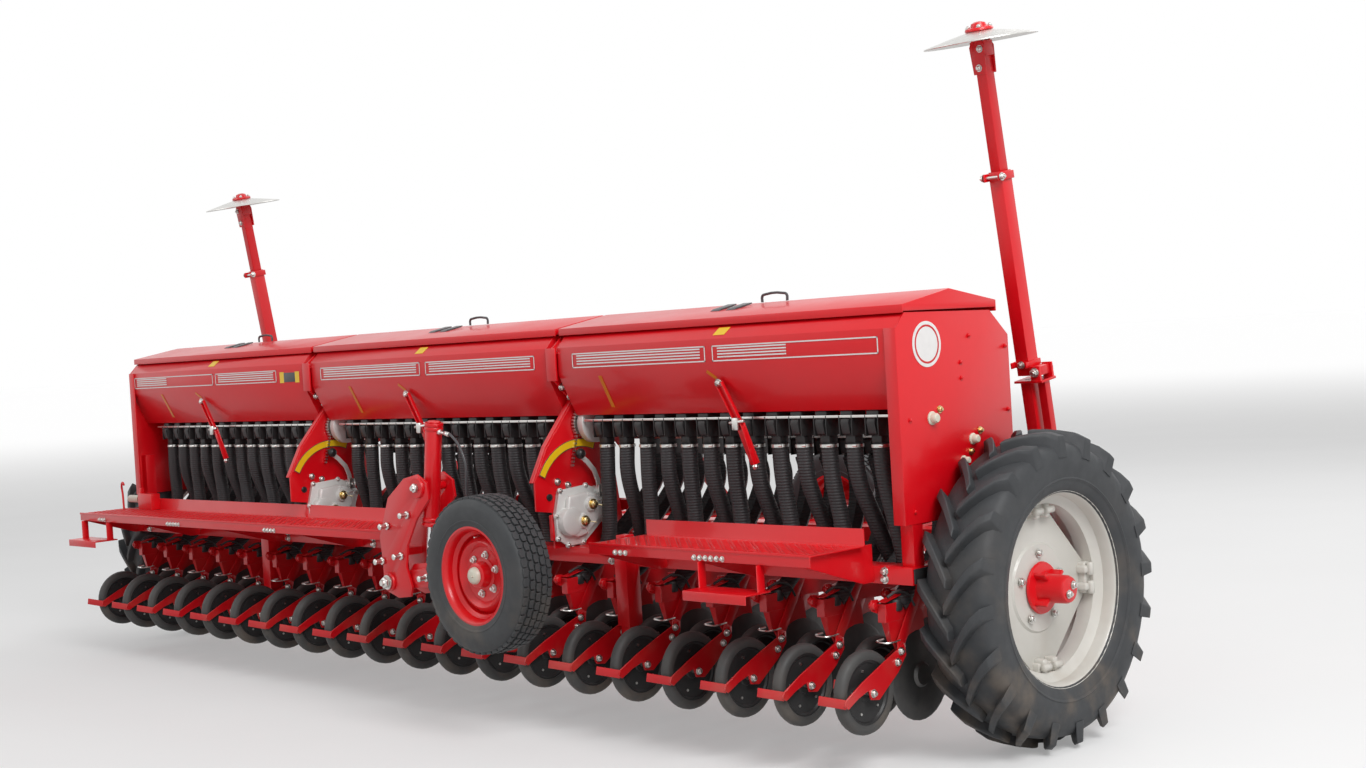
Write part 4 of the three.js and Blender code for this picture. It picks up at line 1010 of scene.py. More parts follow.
def road_rim_shape():
    """A pressed red rim with stepped sides, its dished disc and the hub."""
    lip = [(0.2, 0.0865), (0.2085, 0.085), (0.211, 0.079), (0.206, 0.075), (0.1935, 0.073), (0.1895, 0.062),
           (0.1875, 0.045), (0.173, 0.032), (0.17, 0.01)]
    outer = lip + [(radius, -x) for radius, x in reversed(lip)]
    bore = [(0.196, 0.0835), (0.189, 0.075), (0.185, 0.062), (0.183, 0.046), (0.1685, 0.034), (0.1655, 0.01)]
    inner = [(radius, -x) for radius, x in bore] + bore[::-1]
    barrel = turned(outer + inner, 56)
    ridge = turned([(0.176, 0.03), (0.184, 0.039), (0.18, 0.044), (0.172, 0.035)], 56)
    disc = turned([(0.168, 0.012), (0.158, 0.02), (0.151, 0.036), (0.138, 0.043), (0.124, 0.036),
                   (0.114, 0.022), (0.09, 0.018), (0.05, 0.02), (0.05, 0.014), (0.09, 0.012),
                   (0.116, 0.016), (0.128, 0.03), (0.137, 0.037), (0.146, 0.031), (0.153, 0.014),
                   (0.168, 0.004)], 56)
    hub = turned([(0.0255, -0.058), (0.05, -0.058), (0.054, -0.05), (0.054, 0.0), (0.07, 0.01), (0.07, 0.022),
                  (0.056, 0.026), (0.052, 0.062), (0.046, 0.067), (0.0255, 0.067)], 32)
    return joined(barrel, ridge, disc, hub)


def hub_cap_shape():
    """The pale pressed cap on a hub, with its grease nipple."""
    cap = turned([(0.0, 0.092), (0.014, 0.0915), (0.026, 0.088), (0.034, 0.081), (0.0365, 0.068),
                  (0.0, 0.068)], 32)
    nipple = rod((0.088, 0.012, 0.0), (0.099, 0.013, 0.0), 0.0045, 8, 0.001)
    return joined(cap, nipple)


for end, sign in ENDS:
    low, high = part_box("transport_tyre_" + end)
    middle = (low + high) / 2
    turn = Matrix.Rotation(-sign * math.pi / 2, 4, "Z")
    place = shifted(middle.x, middle.y - FOOTPRINT_SHIFT, middle.z) @ turn
    body = "transport_wheel_" + end
    settle(copies(road_tyre_shape(), [place]), "road_tyre_" + end, body, ROAD_RUBBER, "tyre",
           "transport_tyre_" + end)
    settle(copies(road_rim_shape(), [place]), "road_rim_" + end, body, RED, "red_paint",
           "transport_rim_" + end)
    settle(copies(hub_cap_shape(), [place]), "road_hub_cap_" + end, body, CREAM, "rim_paint")
    studs = [((0.0195, 0.083 * math.cos(a), 0.083 * math.sin(a)), "+X")
             for a in (math.tau * i / 6 + 0.3 for i in range(6))]
    valve = rod((0.03, 0.0, 0.162), (0.062, 0.0, 0.158), 0.004, 8, 0.001)
    settle(copies(joined(bolts(studs, 0.0085), valve), [place]), "road_wheel_nuts_" + end, body, ZINC, "zinc")

# ---- pins, nuts and pipes of the transport brackets --------------------------------------------------------

SWING_PIN = (0.314, 0.626)
TRUNNION = (0.572, 1.061)
ROD_EYE = (0.512, 0.655)
PLATE_PINS = ((0.483, 0.937), (0.323, 0.882), (0.418, 0.749), (0.6, 0.66), (0.27, 0.72))
TOWED_MIDDLE = (1.169, 0.0425)
PIPE_RADIUS = 0.0062
PIPE_STEPS = 6


def towed(sign):
    """Rear fittings as drawn, or turned half round for the front unit."""
    middle = shifted(*TOWED_MIDDLE)
    return Matrix() if sign > 0 else middle @ Matrix.Rotation(math.pi, 4, "Z") @ middle.inverted()


def stud_shape(x, z, length=0.03, radius=0.0105):
    """A plated pin that stands out of the outer bracket plate, with a nut at its foot and a head."""
    foot = rod((x, -1.011, z), (x, -1.022, z), radius * 1.75, 6, 0.0015)
    shank = rod((x, -1.02, z), (x, -1.02 - length, z), radius, 12)
    head = rod((x, -1.02 - length, z), (x, -1.03 - length, z), radius * 1.3, 12, 0.002)
    return joined(foot, shank, head)


for end, sign in ENDS:
    turn = [towed(sign)]
    studs = joined(*[stud_shape(x, z) for x, z in PLATE_PINS])
    settle(copies(studs, turn), "bracket_pins_" + end, "frame", ZINC, "zinc")
    boss = turned([(0.02, -1.024), (0.044, -1.024), (0.047, -1.02), (0.047, -1.0105), (0.02, -1.0105)], 28,
                  (TRUNNION[0], 0, TRUNNION[1]), "Y")
    seat = turned([(0.018, -1.022), (0.04, -1.022), (0.043, -1.018), (0.043, -1.0105), (0.018, -1.0105)], 28,
                  (SWING_PIN[0], 0, SWING_PIN[1]), "Y")
    lugs = [block((x, -0.552, 0.655), (x + 0.03, -0.53, 0.785), 0.002) for x in (0.235, 0.41)]
    settle(copies(joined(boss, seat, *lugs), turn), "bracket_bosses_" + end, "frame", RED, "red_paint")
    feet = bolts([((x, -0.553, z), "-Y") for x in (0.245, 0.42) for z in (0.665, 0.775)], 0.0085)
    settle(copies(feet, turn), "bracket_foot_bolts_" + end, "frame", ZINC, "zinc")
    pivot = bolts([((SWING_PIN[0], -1.0245, SWING_PIN[1]), "-Y")], 0.016)
    settle(copies(pivot, turn), "swing_pin_nut_" + end, "transport_arm_" + end, ZINC, "zinc")
    gusset = plate([(0.42, 0.675), (0.62, 0.697), (0.56, 0.72), (0.46, 0.71)], "Y", (-0.978, -0.97), 0.0015)
    eyes = rod((ROD_EYE[0], -0.958, ROD_EYE[1]), (ROD_EYE[0], -0.945, ROD_EYE[1]), 0.024, 18, 0.002)
    tip = rod((1.188, -0.9935, 0.724), (1.188, -0.999, 0.724), 0.04, 24, 0.003)
    settle(copies(joined(gusset, eyes, tip), turn), "swing_arm_webs_" + end, "transport_arm_" + end, RED,
           "red_paint")
    trunnion = bolts([((TRUNNION[0], -1.0185, TRUNNION[1]), "-Y")], 0.013)
    axis = (Vector((TRUNNION[0], 0, TRUNNION[1])) - Vector((ROD_EYE[0], 0, ROD_EYE[1]))).normalized()
    centre = Vector((TRUNNION[0], -0.932, TRUNNION[1]))
    elbow = centre + axis * 0.245
    port = [rod(elbow + Vector((0.036, 0, 0)), elbow + Vector((0.052, 0, 0)), 0.013, 6, 0.0015),
            rod(elbow + Vector((0.05, 0, 0)), elbow + Vector((0.085, 0, -0.006)), 0.008, 10),
            rod(elbow + Vector((0.082, 0, -0.005)), elbow + Vector((0.112, 0, -0.012)), 0.0105, 12, 0.0015)]
    settle(copies(joined(trunnion, *port), turn), "cylinder_fittings_" + end, "transport_cylinder_" + end,
           ZINC, "zinc")
    rings = []
    for along in (-0.172, -0.15, 0.262, 0.28):
        ring = turned([(0.036, -0.008), (0.041, -0.008), (0.0425, -0.005), (0.0425, 0.005), (0.041, 0.008),
                       (0.036, 0.008)], 28)
        spot = centre + axis * along
        ring.data.transform(between(spot, spot + axis) @ Matrix.Rotation(-math.pi / 2, 4, "Y"))
        rings.append(ring)
    top = rod(centre + axis * 0.284, centre + axis * 0.296, 0.03, 24, 0.004)
    settle(copies(joined(top, *rings), turn), "cylinder_collars_" + end, "transport_cylinder_" + end, RED,
           "red_paint")
    knots = [elbow + Vector((0.056, 0, 0)), elbow + Vector((0.112, 0, -0.008)), (0.786, -0.932, 1.244),
             (0.824, -0.93, 1.16), (0.806, -0.92, 1.06), (0.748, -0.87, 0.96), (0.682, -0.77, 0.875),
             (0.636, -0.66, 0.806), (0.62, -0.55, 0.765)]
    route = [turn[0] @ point for point in smooth_route(knots, PIPE_STEPS)]
    pipe = settle(hose(route, PIPE_RADIUS, 16, 1), "oil_pipe_" + end, None, GREY, "black_plastic")
    route = [point + Vector((0, FOOTPRINT_SHIFT, 0)) for point in route]
    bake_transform(pipe)
    length = sum((b - a).length for a, b in zip(route, route[1:]))
    clip = block((0.6, -0.556, 0.752), (0.64, -0.53, 0.776), 0.003)
    settle(copies(clip, turn), "oil_pipe_clip_" + end, "frame", GREY, "black_plastic")

# ---- gearboxes and the divider plates' fittings ------------------------------------------------------------

CASE_X = 0.0055
CASE_LINE = [(-0.571, 1.01), (-0.6, 0.9), (-0.596, 0.8), (-0.54, 0.766), (-0.449, 0.77), (-0.33, 0.86),
             (-0.301, 0.942), (-0.33, 0.99), (-0.42, 1.02)]
COVER_LINE = [(-0.545, 0.985), (-0.562, 0.9), (-0.55, 0.82), (-0.5, 0.795), (-0.445, 0.805), (-0.35, 0.885),
              (-0.335, 0.945), (-0.36, 0.975), (-0.43, 0.995)]
SHAFT_ENDS = ((-0.422, 0.939), (-0.474, 0.869))
SCALE_CENTRE = (-0.43, 0.965)
SCALE_RADIUS = 0.25
GRIP_PIVOT = (-0.348, 0.992)
GRIP_TOP = (-0.458, 1.168)
SPROCKET = (-0.385, 1.3)
DIVIDERS = (("right", 0.994), ("left", -0.994))


def grown(line, reach):
    middle = Vector((sum(y for y, _ in line) / len(line), sum(z for _, z in line) / len(line)))
    return [tuple(Vector(point) + (Vector(point) - middle).normalized() * reach) for point in line]


def gearbox_shape():
    """The cast case: a base, a bolted flange, a cover with two bearing bosses and a round end."""
    base = plate(CASE_LINE, "X", (CASE_X, CASE_X + 0.024), 0.004, 2)
    flange = plate(grown(CASE_LINE, 0.006), "X", (CASE_X + 0.022, CASE_X + 0.031), 0.0025, 2)
    cover = plate(COVER_LINE, "X", (CASE_X + 0.028, CASE_X + 0.058), 0.011, 3)
    end = turned([(0.0, 0.02), (0.058, 0.02), (0.064, 0.026), (0.066, 0.045), (0.06, 0.064),
                  (0.045, 0.07), (0.0, 0.07)], 32, (CASE_X, -0.535, 0.872))
    parts = [base, flange, cover, end]
    for y, z in SHAFT_ENDS:
        parts.append(turned([(0.0, 0.05), (0.036, 0.05), (0.034, 0.064), (0.029, 0.074), (0.0, 0.074)], 28,
                            (CASE_X, y, z)))
    for start, stop in (((-0.422, 0.939), (-0.35, 0.955)), ((-0.474, 0.869), (-0.445, 0.81)),
                        ((-0.422, 0.939), (-0.43, 0.99)), ((-0.474, 0.869), (-0.54, 0.872))):
        parts.append(bar((CASE_X + 0.059, *start), (CASE_X + 0.059, *stop), 0.008, 0.009, 0.002))
    for y, z in grown(CASE_LINE, 0.001):
        parts.append(rod((CASE_X + 0.02, y, z), (CASE_X + 0.033, y, z), 0.013, 14, 0.002))
    parts.append(rod((CASE_X, *GRIP_PIVOT), (CASE_X + 0.05, *GRIP_PIVOT), 0.021, 20, 0.003))
    return joined(*parts)


def sprocket_shape():
    """A toothed wheel on the metering shaft, and the roller chain round its rear side."""
    teeth = 22
    line = []
    for i in range(teeth):
        for offset, radius in ((0.0, 0.062), (0.3, 0.07), (0.5, 0.07), (0.8, 0.062)):
            angle = math.tau * (i + offset) / teeth
            line.append((SPROCKET[0] + radius * math.cos(angle), SPROCKET[1] + radius * math.sin(angle)))
    wheel = plate(line, "X", (0.016, 0.021), 0.0)
    hub = turned([(0.0, 0.012), (0.026, 0.012), (0.026, 0.034), (0.012, 0.036), (0.0, 0.036)], 20,
                 (0, *SPROCKET))
    links = []
    for i in range(11):
        angle = 1.7 + 0.2 * i
        y, z = SPROCKET[0] + 0.073 * math.cos(angle), SPROCKET[1] + 0.073 * math.sin(angle)
        links.append(rod((0.011, y, z), (0.026, y, z), 0.0055, 8))
    for i in range(9):
        y, z = -0.445 - 0.004 * i, 1.245 - 0.016 * i
        links.append(rod((0.011, y, z), (0.026, y, z), 0.0055, 8))
    return joined(wheel, hub, *links)


for side, x in DIVIDERS:
    place = [shifted(x)]
    settle(copies(gearbox_shape(), place), "gearbox_case_" + side, "frame", CAST, "cast_alloy",
           "gearbox_" + side)
    nuts = bolts([((CASE_X + 0.074, y, z), "+X") for y, z in SHAFT_ENDS], 0.0115)
    wires = [hose([(CASE_X + 0.09, y - 0.012, z), (CASE_X + 0.094, y + 0.014, z - 0.004),
                   (CASE_X + 0.092, y + 0.05, z - 0.012)], 0.0018, 6, 4) for y, z in SHAFT_ENDS]
    settle(copies(joined(nuts, *wires), place), "gearbox_nuts_" + side, "frame", BRASS, "zinc")
    screws = bolts([((CASE_X + 0.032, y, z), "+X") for y, z in grown(CASE_LINE, 0.001)], 0.0048)
    clamp = joined(block((CASE_X + 0.046, -0.366, 0.965), (CASE_X + 0.06, -0.33, 1.02), 0.004),
                   rod((CASE_X + 0.045, *GRIP_PIVOT), (CASE_X + 0.07, *GRIP_PIVOT), 0.009, 6, 0.001))
    pin_spots = ((-0.5, 1.03), (-0.56, 1.05), (-0.29, 0.84), (-0.255, 0.84))
    pins = bolts([((0.0055, y, z), "+X") for y, z in pin_spots], 0.008)
    joints = bolts([((0.0185, -0.39, 1.42), "+X"), ((0.0185, -0.28, 1.315), "+X"),
                    ((0.0055, -0.455, 1.425), "+X"), ((0.0055, -0.5, 1.47), "+X")], 0.009)
    settle(copies(joined(screws, clamp, pins, joints), place), "divider_fasteners_" + side, "frame", ZINC,
           "zinc")
    grip = ribbon([GRIP_PIVOT, (-0.352, 1.04), (-0.372, 1.088), (-0.41, 1.128), GRIP_TOP], 0.023, "X",
                  (CASE_X + 0.034, CASE_X + 0.041))
    settle(copies(grip, place), "gear_lever_" + side, "frame", CAST, "cast_alloy")
    knob = turned([(0.0, 0.025), (0.008, 0.025), (0.01, 0.03), (0.019, 0.036), (0.0245, 0.047),
                   (0.0245, 0.055), (0.019, 0.066), (0.01, 0.071), (0.0, 0.072)], 24,
                  (CASE_X, *GRIP_TOP))
    plug = turned([(0.0, 0.0055), (0.016, 0.0055), (0.016, 0.01), (0.01, 0.013), (0.0, 0.013)], 20,
                  (0, -0.612, 0.985))
    settle(copies(joined(knob, plug), place), "gear_knob_" + side, "frame", KNOB, "black_plastic")
    scale = ribbon(arc_line(SCALE_CENTRE, SCALE_RADIUS, 1.19, 2.65, 22), 0.031, "X", (0.0126, 0.0138), 0.0003)
    settle(copies(scale, place), "gear_scale_" + side, "frame", YELLOW, "red_paint")
    edge = ribbon(arc_line(SCALE_CENTRE, SCALE_RADIUS, 1.175, 2.665, 22), 0.0375, "X", (0.0121, 0.0129),
                  0.0002)
    settle(copies(edge, place), "gear_scale_edge_" + side, "frame", GREY, "black_plastic")
    settle(copies(sprocket_shape(), place), "metering_sprocket_" + side, "frame", ZINC, "zinc")
    guard = turned([(0.03, 0.03), (0.082, 0.03), (0.088, 0.038), (0.088, 0.07), (0.082, 0.074),
                    (0.03, 0.076)], 32, (0, -0.362, 1.3))
    settle(copies(guard, place), "chain_guard_" + side, "frame", CAST, "cast_alloy")
    links = joined(bar((0.0155, -0.41, 1.44), (0.0155, -0.27, 1.305), 0.006, 0.028, 0.0015),
                   bar((0.0155, -0.36, 1.43), (0.0155, -0.2, 1.27), 0.006, 0.022, 0.0015),
                   block((-0.012, -0.606, 0.79), (0.012, -0.588, 0.905), 0.002))
    gusset = plate([(-0.52, 1.62), (-0.5, 1.675), (-0.545, 1.622)], "X", (0.004, 0.06), 0.001)
    settle(copies(joined(links, gusset), place), "divider_links_" + side, "frame", RED, "red_paint")

# ---- row marker discs and clamps ---------------------------------------------------------------------------

MARKER_PIN = (2.89, 0.437, 1.439)
MARKER_LEAN = 0.154
MARKER_REACH = {"right": 1.31, "left": 1.2}
TUBE_MIDDLE = -0.044
COLLAR_WALL = 0.008


def collar_shape(z0, z1, clear):
    """A square clamp round the marker's tube, with two ears behind it for the cross bolt, which is drawn
    apart.
    """
    outer_x, outer_y = 0.03 + clear, 0.035 + clear
    near, far = TUBE_MIDDLE - outer_x, TUBE_MIDDLE + outer_x
    sides = [block((near - COLLAR_WALL, -outer_y - COLLAR_WALL, z0),
                   (near, outer_y + COLLAR_WALL, z1), 0.002),
             block((far, -outer_y - COLLAR_WALL, z0),
                   (far + COLLAR_WALL, outer_y + COLLAR_WALL, z1), 0.002),
             block((near, -outer_y - COLLAR_WALL, z0), (far, -outer_y, z1), 0.002),
             block((near, outer_y, z0), (far, outer_y + COLLAR_WALL, z1), 0.002)]
    ears = []
    for sign in (-1, 1):
        middle = TUBE_MIDDLE + sign * (outer_x + 0.004)
        ears.append(block((middle - 0.004, -outer_y - 0.03, z0),
                          (middle + 0.004, -outer_y - 0.006, z1), 0.002))
    return joined(*sides, *ears)


for side, sign in SIDES:
    reach = MARKER_REACH[side]
    mirror = Matrix() if sign > 0 else MIRROR_X
    place = [mirror @ shifted(*MARKER_PIN) @ Matrix.Rotation(MARKER_LEAN, 4, "X")]
    arm, slider, spinner = "marker_arm_" + side, "marker_extension_" + side, "marker_disc_" + side
    disc = turned([(0.0155, 0.0), (0.034, 0.0), (0.036, 0.02), (0.12, 0.008), (0.2285, -0.0145),
                   (0.23, -0.012), (0.2285, -0.009), (0.12, 0.015), (0.06, 0.027), (0.034, 0.03),
                   (0.0155, 0.03)], 64, (TUBE_MIDDLE, 0, reach + 0.052), "Z")
    settle(copies(disc, place), "marker_dish_" + side, spinner, ZINC, "zinc", "marker_disc_" + side)
    hub = turned([(0.0155, 0.029), (0.055, 0.029), (0.058, 0.034), (0.055, 0.041), (0.034, 0.046),
                  (0.029, 0.06), (0.014, 0.066), (0.0, 0.067), (0.0, 0.054), (0.0155, 0.054)], 32,
                 (TUBE_MIDDLE, 0, reach + 0.052), "Z")
    settle(copies(hub, place), "marker_hub_" + side, spinner, RED, "red_paint")
    caps = [((TUBE_MIDDLE + 0.044 * math.cos(a), 0.044 * math.sin(a), reach + 0.094), "+Z")
            for a in (0.6, 2.17, 3.74, 5.31)]
    settle(copies(bolts(caps, 0.0055), place), "marker_hub_bolts_" + side, spinner, ZINC, "zinc")
    clamps = joined(collar_shape(0.79, 0.822, 0.0005), collar_shape(0.02, 0.045, 0.0005))
    settle(copies(clamps, place), "marker_clamps_" + side, arm, RED, "red_paint")
    screws = [((TUBE_MIDDLE + 0.0425, -0.052, 0.806), "+X"), ((TUBE_MIDDLE - 0.0425, -0.052, 0.806), "-X"),
              ((TUBE_MIDDLE, -0.0435, 0.032), "-Y"), ((TUBE_MIDDLE, 0.0435, 0.806), "+Y")]
    cross = rod((TUBE_MIDDLE - 0.05, -0.052, 0.806), (TUBE_MIDDLE + 0.05, -0.052, 0.806), 0.006, 10)
    settle(copies(joined(bolts(screws, 0.008), cross), place), "marker_arm_bolts_" + side, arm, ZINC, "zinc")
    cheek = plate([(-0.03, reach - 0.09), (0.03, reach - 0.09), (0.036, reach + 0.02), (0.02, reach + 0.048),
                   (-0.02, reach + 0.048), (-0.036, reach + 0.02)], "Y", (0.0305, 0.0365), 0.002)
    cheeks = copies(cheek, [shifted(TUBE_MIDDLE), shifted(TUBE_MIDDLE) @ Matrix.Rotation(math.pi, 4, "Z")])
    settle(copies(cheeks, place), "marker_head_plates_" + side, slider, RED, "red_paint")
    heads = [((TUBE_MIDDLE + dx, y, reach + dz), facing) for dx, dz in ((0.0, -0.065), (0.015, 0.01))
             for y, facing in ((-0.0367, "-Y"), (0.0367, "+Y"))]
    settle(copies(bolts(heads, 0.007), place), "marker_head_bolts_" + side, slider, ZINC, "zinc")
    pins = bolts([((0.02, 0.0505, 0.0), "+Y"), ((0.02, -0.0505, 0.0), "-Y")], 0.01)
    foot = -(MARKER_PIN[2] - BEAM_TOP) / math.cos(MARKER_LEAN) + 0.02
    base = bolts([((x, y, foot), "+Z") for x in (-0.082, 0.048) for y in (-0.038, 0.038)], 0.008)
    settle(copies(joined(pins, base), place), "marker_mast_bolts_" + side, "frame", ZINC, "zinc")

# ---- lift shaft, chassis fasteners and drawbar fittings ----------------------------------------------------

LIFT_SHAFT = (-0.085, 0.9)
LIFT_SHAFT_HALF = 0.025
LIFT_SHAFT_REACH = 2.93
shaft = block((-LIFT_SHAFT_REACH, LIFT_SHAFT[0] - LIFT_SHAFT_HALF, LIFT_SHAFT[1] - LIFT_SHAFT_HALF),
              (LIFT_SHAFT_REACH, LIFT_SHAFT[0] + LIFT_SHAFT_HALF, LIFT_SHAFT[1] + LIFT_SHAFT_HALF), 0.004)
posts = []
for x in (-2.91, -0.985, 0.985, 2.91):
    posts.append(plate([(-0.14, 0.7555), (-0.03, 0.7555), (-0.045, 0.93), (-0.085, 0.955),
                        (-0.125, 0.93)], "X", (x - 0.005, x + 0.005), 0.0015))
prong = plate([(-0.06, 0.925), (-0.11, 0.93), (-0.19, 0.885), (-0.192, 0.866), (-0.11, 0.868),
               (-0.06, 0.874)], "X", (-0.0025, 0.0025), 0.001, 1)
prong_spots = [shifted(lift_x(centre, row) + gap) for _, centre in BANKS for row in ROWS
               for gap in (-0.026, 0.026)]
settle(joined(shaft, *posts, copies(prong, prong_spots)), "coulter_lift_shaft", "frame", RED, "red_paint")

heads = []
for x in (-0.985, 0.985):
    for y in (-0.5, -0.45, 0.535, 0.585):
        heads += [((x - 0.022, y, 0.7555), "+Z"), ((x + 0.022, y, 0.7555), "+Z")]
for x in (-2.4, -1.7, -0.4, 0.05, 0.9, 1.7, 2.3):
    heads += [((x, 0.6145, 0.705), "+Y"), ((x, 0.6145, 0.74), "+Y")]
for x in (-2.84, -1.3, -0.5, 0.8, 1.3, 2.82):
    heads += [((x, -0.5295, 0.708), "-Y"), ((x, -0.5295, 0.738), "-Y")]
for sign in (-1, 1):
    heads += [((sign * 0.6 + dx, 0.634 + 0.0005, z), "+Y") for dx in (-0.07, 0.07) for z in (0.645, 0.735)]
    heads += [((sign * 0.4, 1.3095, z), "-Y") for z in (0.625, 0.665)]
    heads += [((sign * 0.02, 2.99 + dy, 0.5405), "+Z") for dy in (-0.04, 0.0)]
    heads += [((sign * 2.9505, y, z), "+X" if sign > 0 else "-X") for y in (-0.3, 0.3)
              for z in (0.708, 0.738)]
settle(bolts(heads, 0.0085), "chassis_bolts", "frame", ZINC, "zinc")
rivets = [((sign * END_FACE_X, y, z), "+X" if sign > 0 else "-X") for sign in (-1, 1)
          for y, z in ((-0.16, 1.5), (-0.16, 1.44), (-0.1, 1.6), (0.135, 1.3), (0.135, 1.55),
                       (-0.49, 0.96), (-0.49, 1.3))]
settle(bolts(rivets, 0.0045), "end_plate_rivets", "frame", RED, "red_paint")
caps = [block((sign * 2.9535 - 0.0035, y0, 0.6945), (sign * 2.9535 + 0.0035, y1, 0.7505), 0.003)
        for sign in (-1, 1) for y0, y1 in ((-0.523, -0.428), (0.513, 0.608))]
settle(joined(*caps), "beam_end_caps", "frame", BLACK_PLASTIC, "black_plastic")


JACK_X, JACK_Y = 0.3, 2.3


def jack_shape():
    """The screw jack's cap, crank and through pin."""
    cap = turned([(0.0, 0.9), (0.05, 0.9), (0.052, 0.906), (0.046, 0.914), (0.02, 0.918), (0.014, 0.94),
                  (0.0, 0.94)], 28, (JACK_X, JACK_Y, 0), "Z")
    crank = hose([(JACK_X, JACK_Y, 0.925), (JACK_X, JACK_Y, 0.965), (0.33, JACK_Y, 0.975),
                  (0.4, JACK_Y, 0.972), (0.425, JACK_Y, 0.985), (0.428, JACK_Y, 1.05)], 0.0085, 10, 5)
    pin = rod((0.235, JACK_Y, 0.44), (0.365, JACK_Y, 0.44), 0.009, 12, 0.001)
    loop = hose([(0.36, JACK_Y, 0.44), (0.37, 2.285, 0.43), (0.37, 2.275, 0.4), (0.355, 2.29, 0.39)],
                0.003, 6, 4)
    return joined(cap, crank, pin, loop)


settle(jack_shape(), "jack_crank", "frame", ZINC, "zinc")
settle(turned([(0.009, 0.0), (0.015, 0.002), (0.017, 0.02), (0.0155, 0.055), (0.013, 0.068),
               (0.009, 0.07)], 20, (0.428, JACK_Y, 0.985), "Z"), "jack_grip", "frame", KNOB,
       "black_plastic")

# ---- hopper levers, strips and signs -----------------------------------------------------------------------

WALL_TOP, WALL_FOOT = Vector((-0.542, 1.525)), Vector((-0.45, 1.34))
WALL_RUN = (WALL_FOOT - WALL_TOP).normalized()
WALL_FACE = Vector((WALL_RUN.y, -WALL_RUN.x))
SLOPE_LOW, SLOPE_HIGH = Vector((-0.542, 1.646)), Vector((-0.489, 1.701))
LEVER_TOPS = {"right": 2.014, "centre": -0.135, "left": -2.122}


def on_wall(x, z, proud):
    """A point on the hopper's sloping rear wall, standing proud of it by a little."""
    spot = WALL_TOP + WALL_RUN * ((WALL_TOP.y - z) / -WALL_RUN.y) + WALL_FACE * proud
    return (x, spot.x, spot.y)


def gate_lever_shape():
    """The folded red link from the hopper wall down past the seed cups."""
    top, knee, foot = on_wall(0, 1.475, 0.012), (0.075, -0.502, 1.3), (0.117, -0.468, 1.13)
    upper = bar(top, knee, 0.034, 0.005, 0.0015)
    rims = [bar(Vector(top) + Vector((dx, -0.006, 0)), Vector(knee) + Vector((dx, -0.006, 0)), 0.004,
                0.016, 0.001) for dx in (-0.017, 0.017)]
    blade = bar(knee, foot, 0.052, 0.006, 0.0025)
    fold = bar(Vector(knee) + Vector((0.02, -0.01, 0.01)), Vector(foot) + Vector((0.012, -0.012, 0)),
               0.006, 0.026, 0.0015)
    return joined(upper, *rims, blade, fold)


def gate_pins_shape():
    knee, foot = Vector((0.075, -0.51, 1.3)), Vector((0.12, -0.472, 1.12))
    clevis = block(knee + Vector((-0.022, -0.02, -0.03)), knee + Vector((0.012, 0.008, 0.022)), 0.006)
    pin = rod(knee + Vector((-0.04, -0.01, 0.0)), knee + Vector((0.04, -0.01, 0.008)), 0.007, 10, 0.001)
    stem = rod(foot + Vector((0, 0, 0.03)), foot, 0.007, 10)
    ball = turned([(0.0, -0.014), (0.009, -0.011), (0.014, 0.0), (0.009, 0.011), (0.0, 0.014)], 16, foot, "Z")
    stud = bolts([(Vector(on_wall(0.0, 1.475, 0.017)), (0, WALL_FACE.x, WALL_FACE.y))], 0.0085)
    return joined(clevis, pin, stem, ball, stud)


def wall_strip(x0, z0, x1, z1, width):
    return bar(on_wall(x0, z0, 0.0012), on_wall(x1, z1, 0.0012), width, 0.0014, 0.0, roll=(1, 0, 0))


def slope_sticker(x):
    """A leaning yellow patch on the slope above the band."""
    patch = plate([(-0.036, -0.02), (0.028, -0.02), (0.042, 0.02), (-0.022, 0.02)], "Z", (0.0, 0.0008), 0.0)
    middle = (SLOPE_LOW + SLOPE_HIGH) / 2
    tilt = math.atan2(SLOPE_HIGH.y - SLOPE_LOW.y, SLOPE_HIGH.x - SLOPE_LOW.x)
    return copies(patch, [shifted(x, middle.x - 0.0006, middle.y + 0.0006) @ Matrix.Rotation(tilt, 4, "X")])


levers = {hopper: [shifted(x, 0, 0)] for hopper, x in LEVER_TOPS.items()}
for hopper, spot in levers.items():
    settle(copies(gate_lever_shape(), spot), "gate_lever_" + hopper, "frame", RED, "red_paint")
    settle(copies(gate_pins_shape(), spot), "gate_lever_pins_" + hopper, "frame", ZINC, "zinc")
strips = [wall_strip(x, 1.515, x, 1.375, 0.02) for x in (1.3, -0.62, -2.58)]
strips += [wall_strip(x - 0.06, 1.515, x - 0.02, 1.483, 0.016) for x in LEVER_TOPS.values()]
settle(joined(*strips), "wall_strips", "frame", ORANGE, "red_paint")
stickers = [slope_sticker(x) for x in (2.028, -0.016, -2.0)]
stickers += [block((-1.265, BAND_Y - 0.0018, 1.548), (-1.225, BAND_Y - 0.0008, 1.606), 0),
             block((-1.115, BAND_Y - 0.0018, 1.548), (-1.075, BAND_Y - 0.0008, 1.606), 0)]
settle(joined(*stickers), "yellow_patches", "frame", YELLOW, "red_paint")
settle(block((-1.224, BAND_Y - 0.0019, 1.552), (-1.116, BAND_Y - 0.0008, 1.602), 0.0003),
       "band_grey_patch", "frame", GREY, "black_plastic")
face = turned([(0.0, END_FACE_X), (0.0865, END_FACE_X), (0.0865, END_FACE_X + 0.0015),
               (0.0, END_FACE_X + 0.0015)], 56, (0, -0.365, 1.578))
settle(face, "end_disc_face", "frame", WHITE, "rim_paint")
ring = turned([(0.066, END_FACE_X), (0.0735, END_FACE_X), (0.0735, END_FACE_X + 0.0022),
               (0.066, END_FACE_X + 0.0022)], 56, (0, -0.365, 1.578))
settle(ring, "end_disc_ring", "frame", RING_RED, "red_paint")

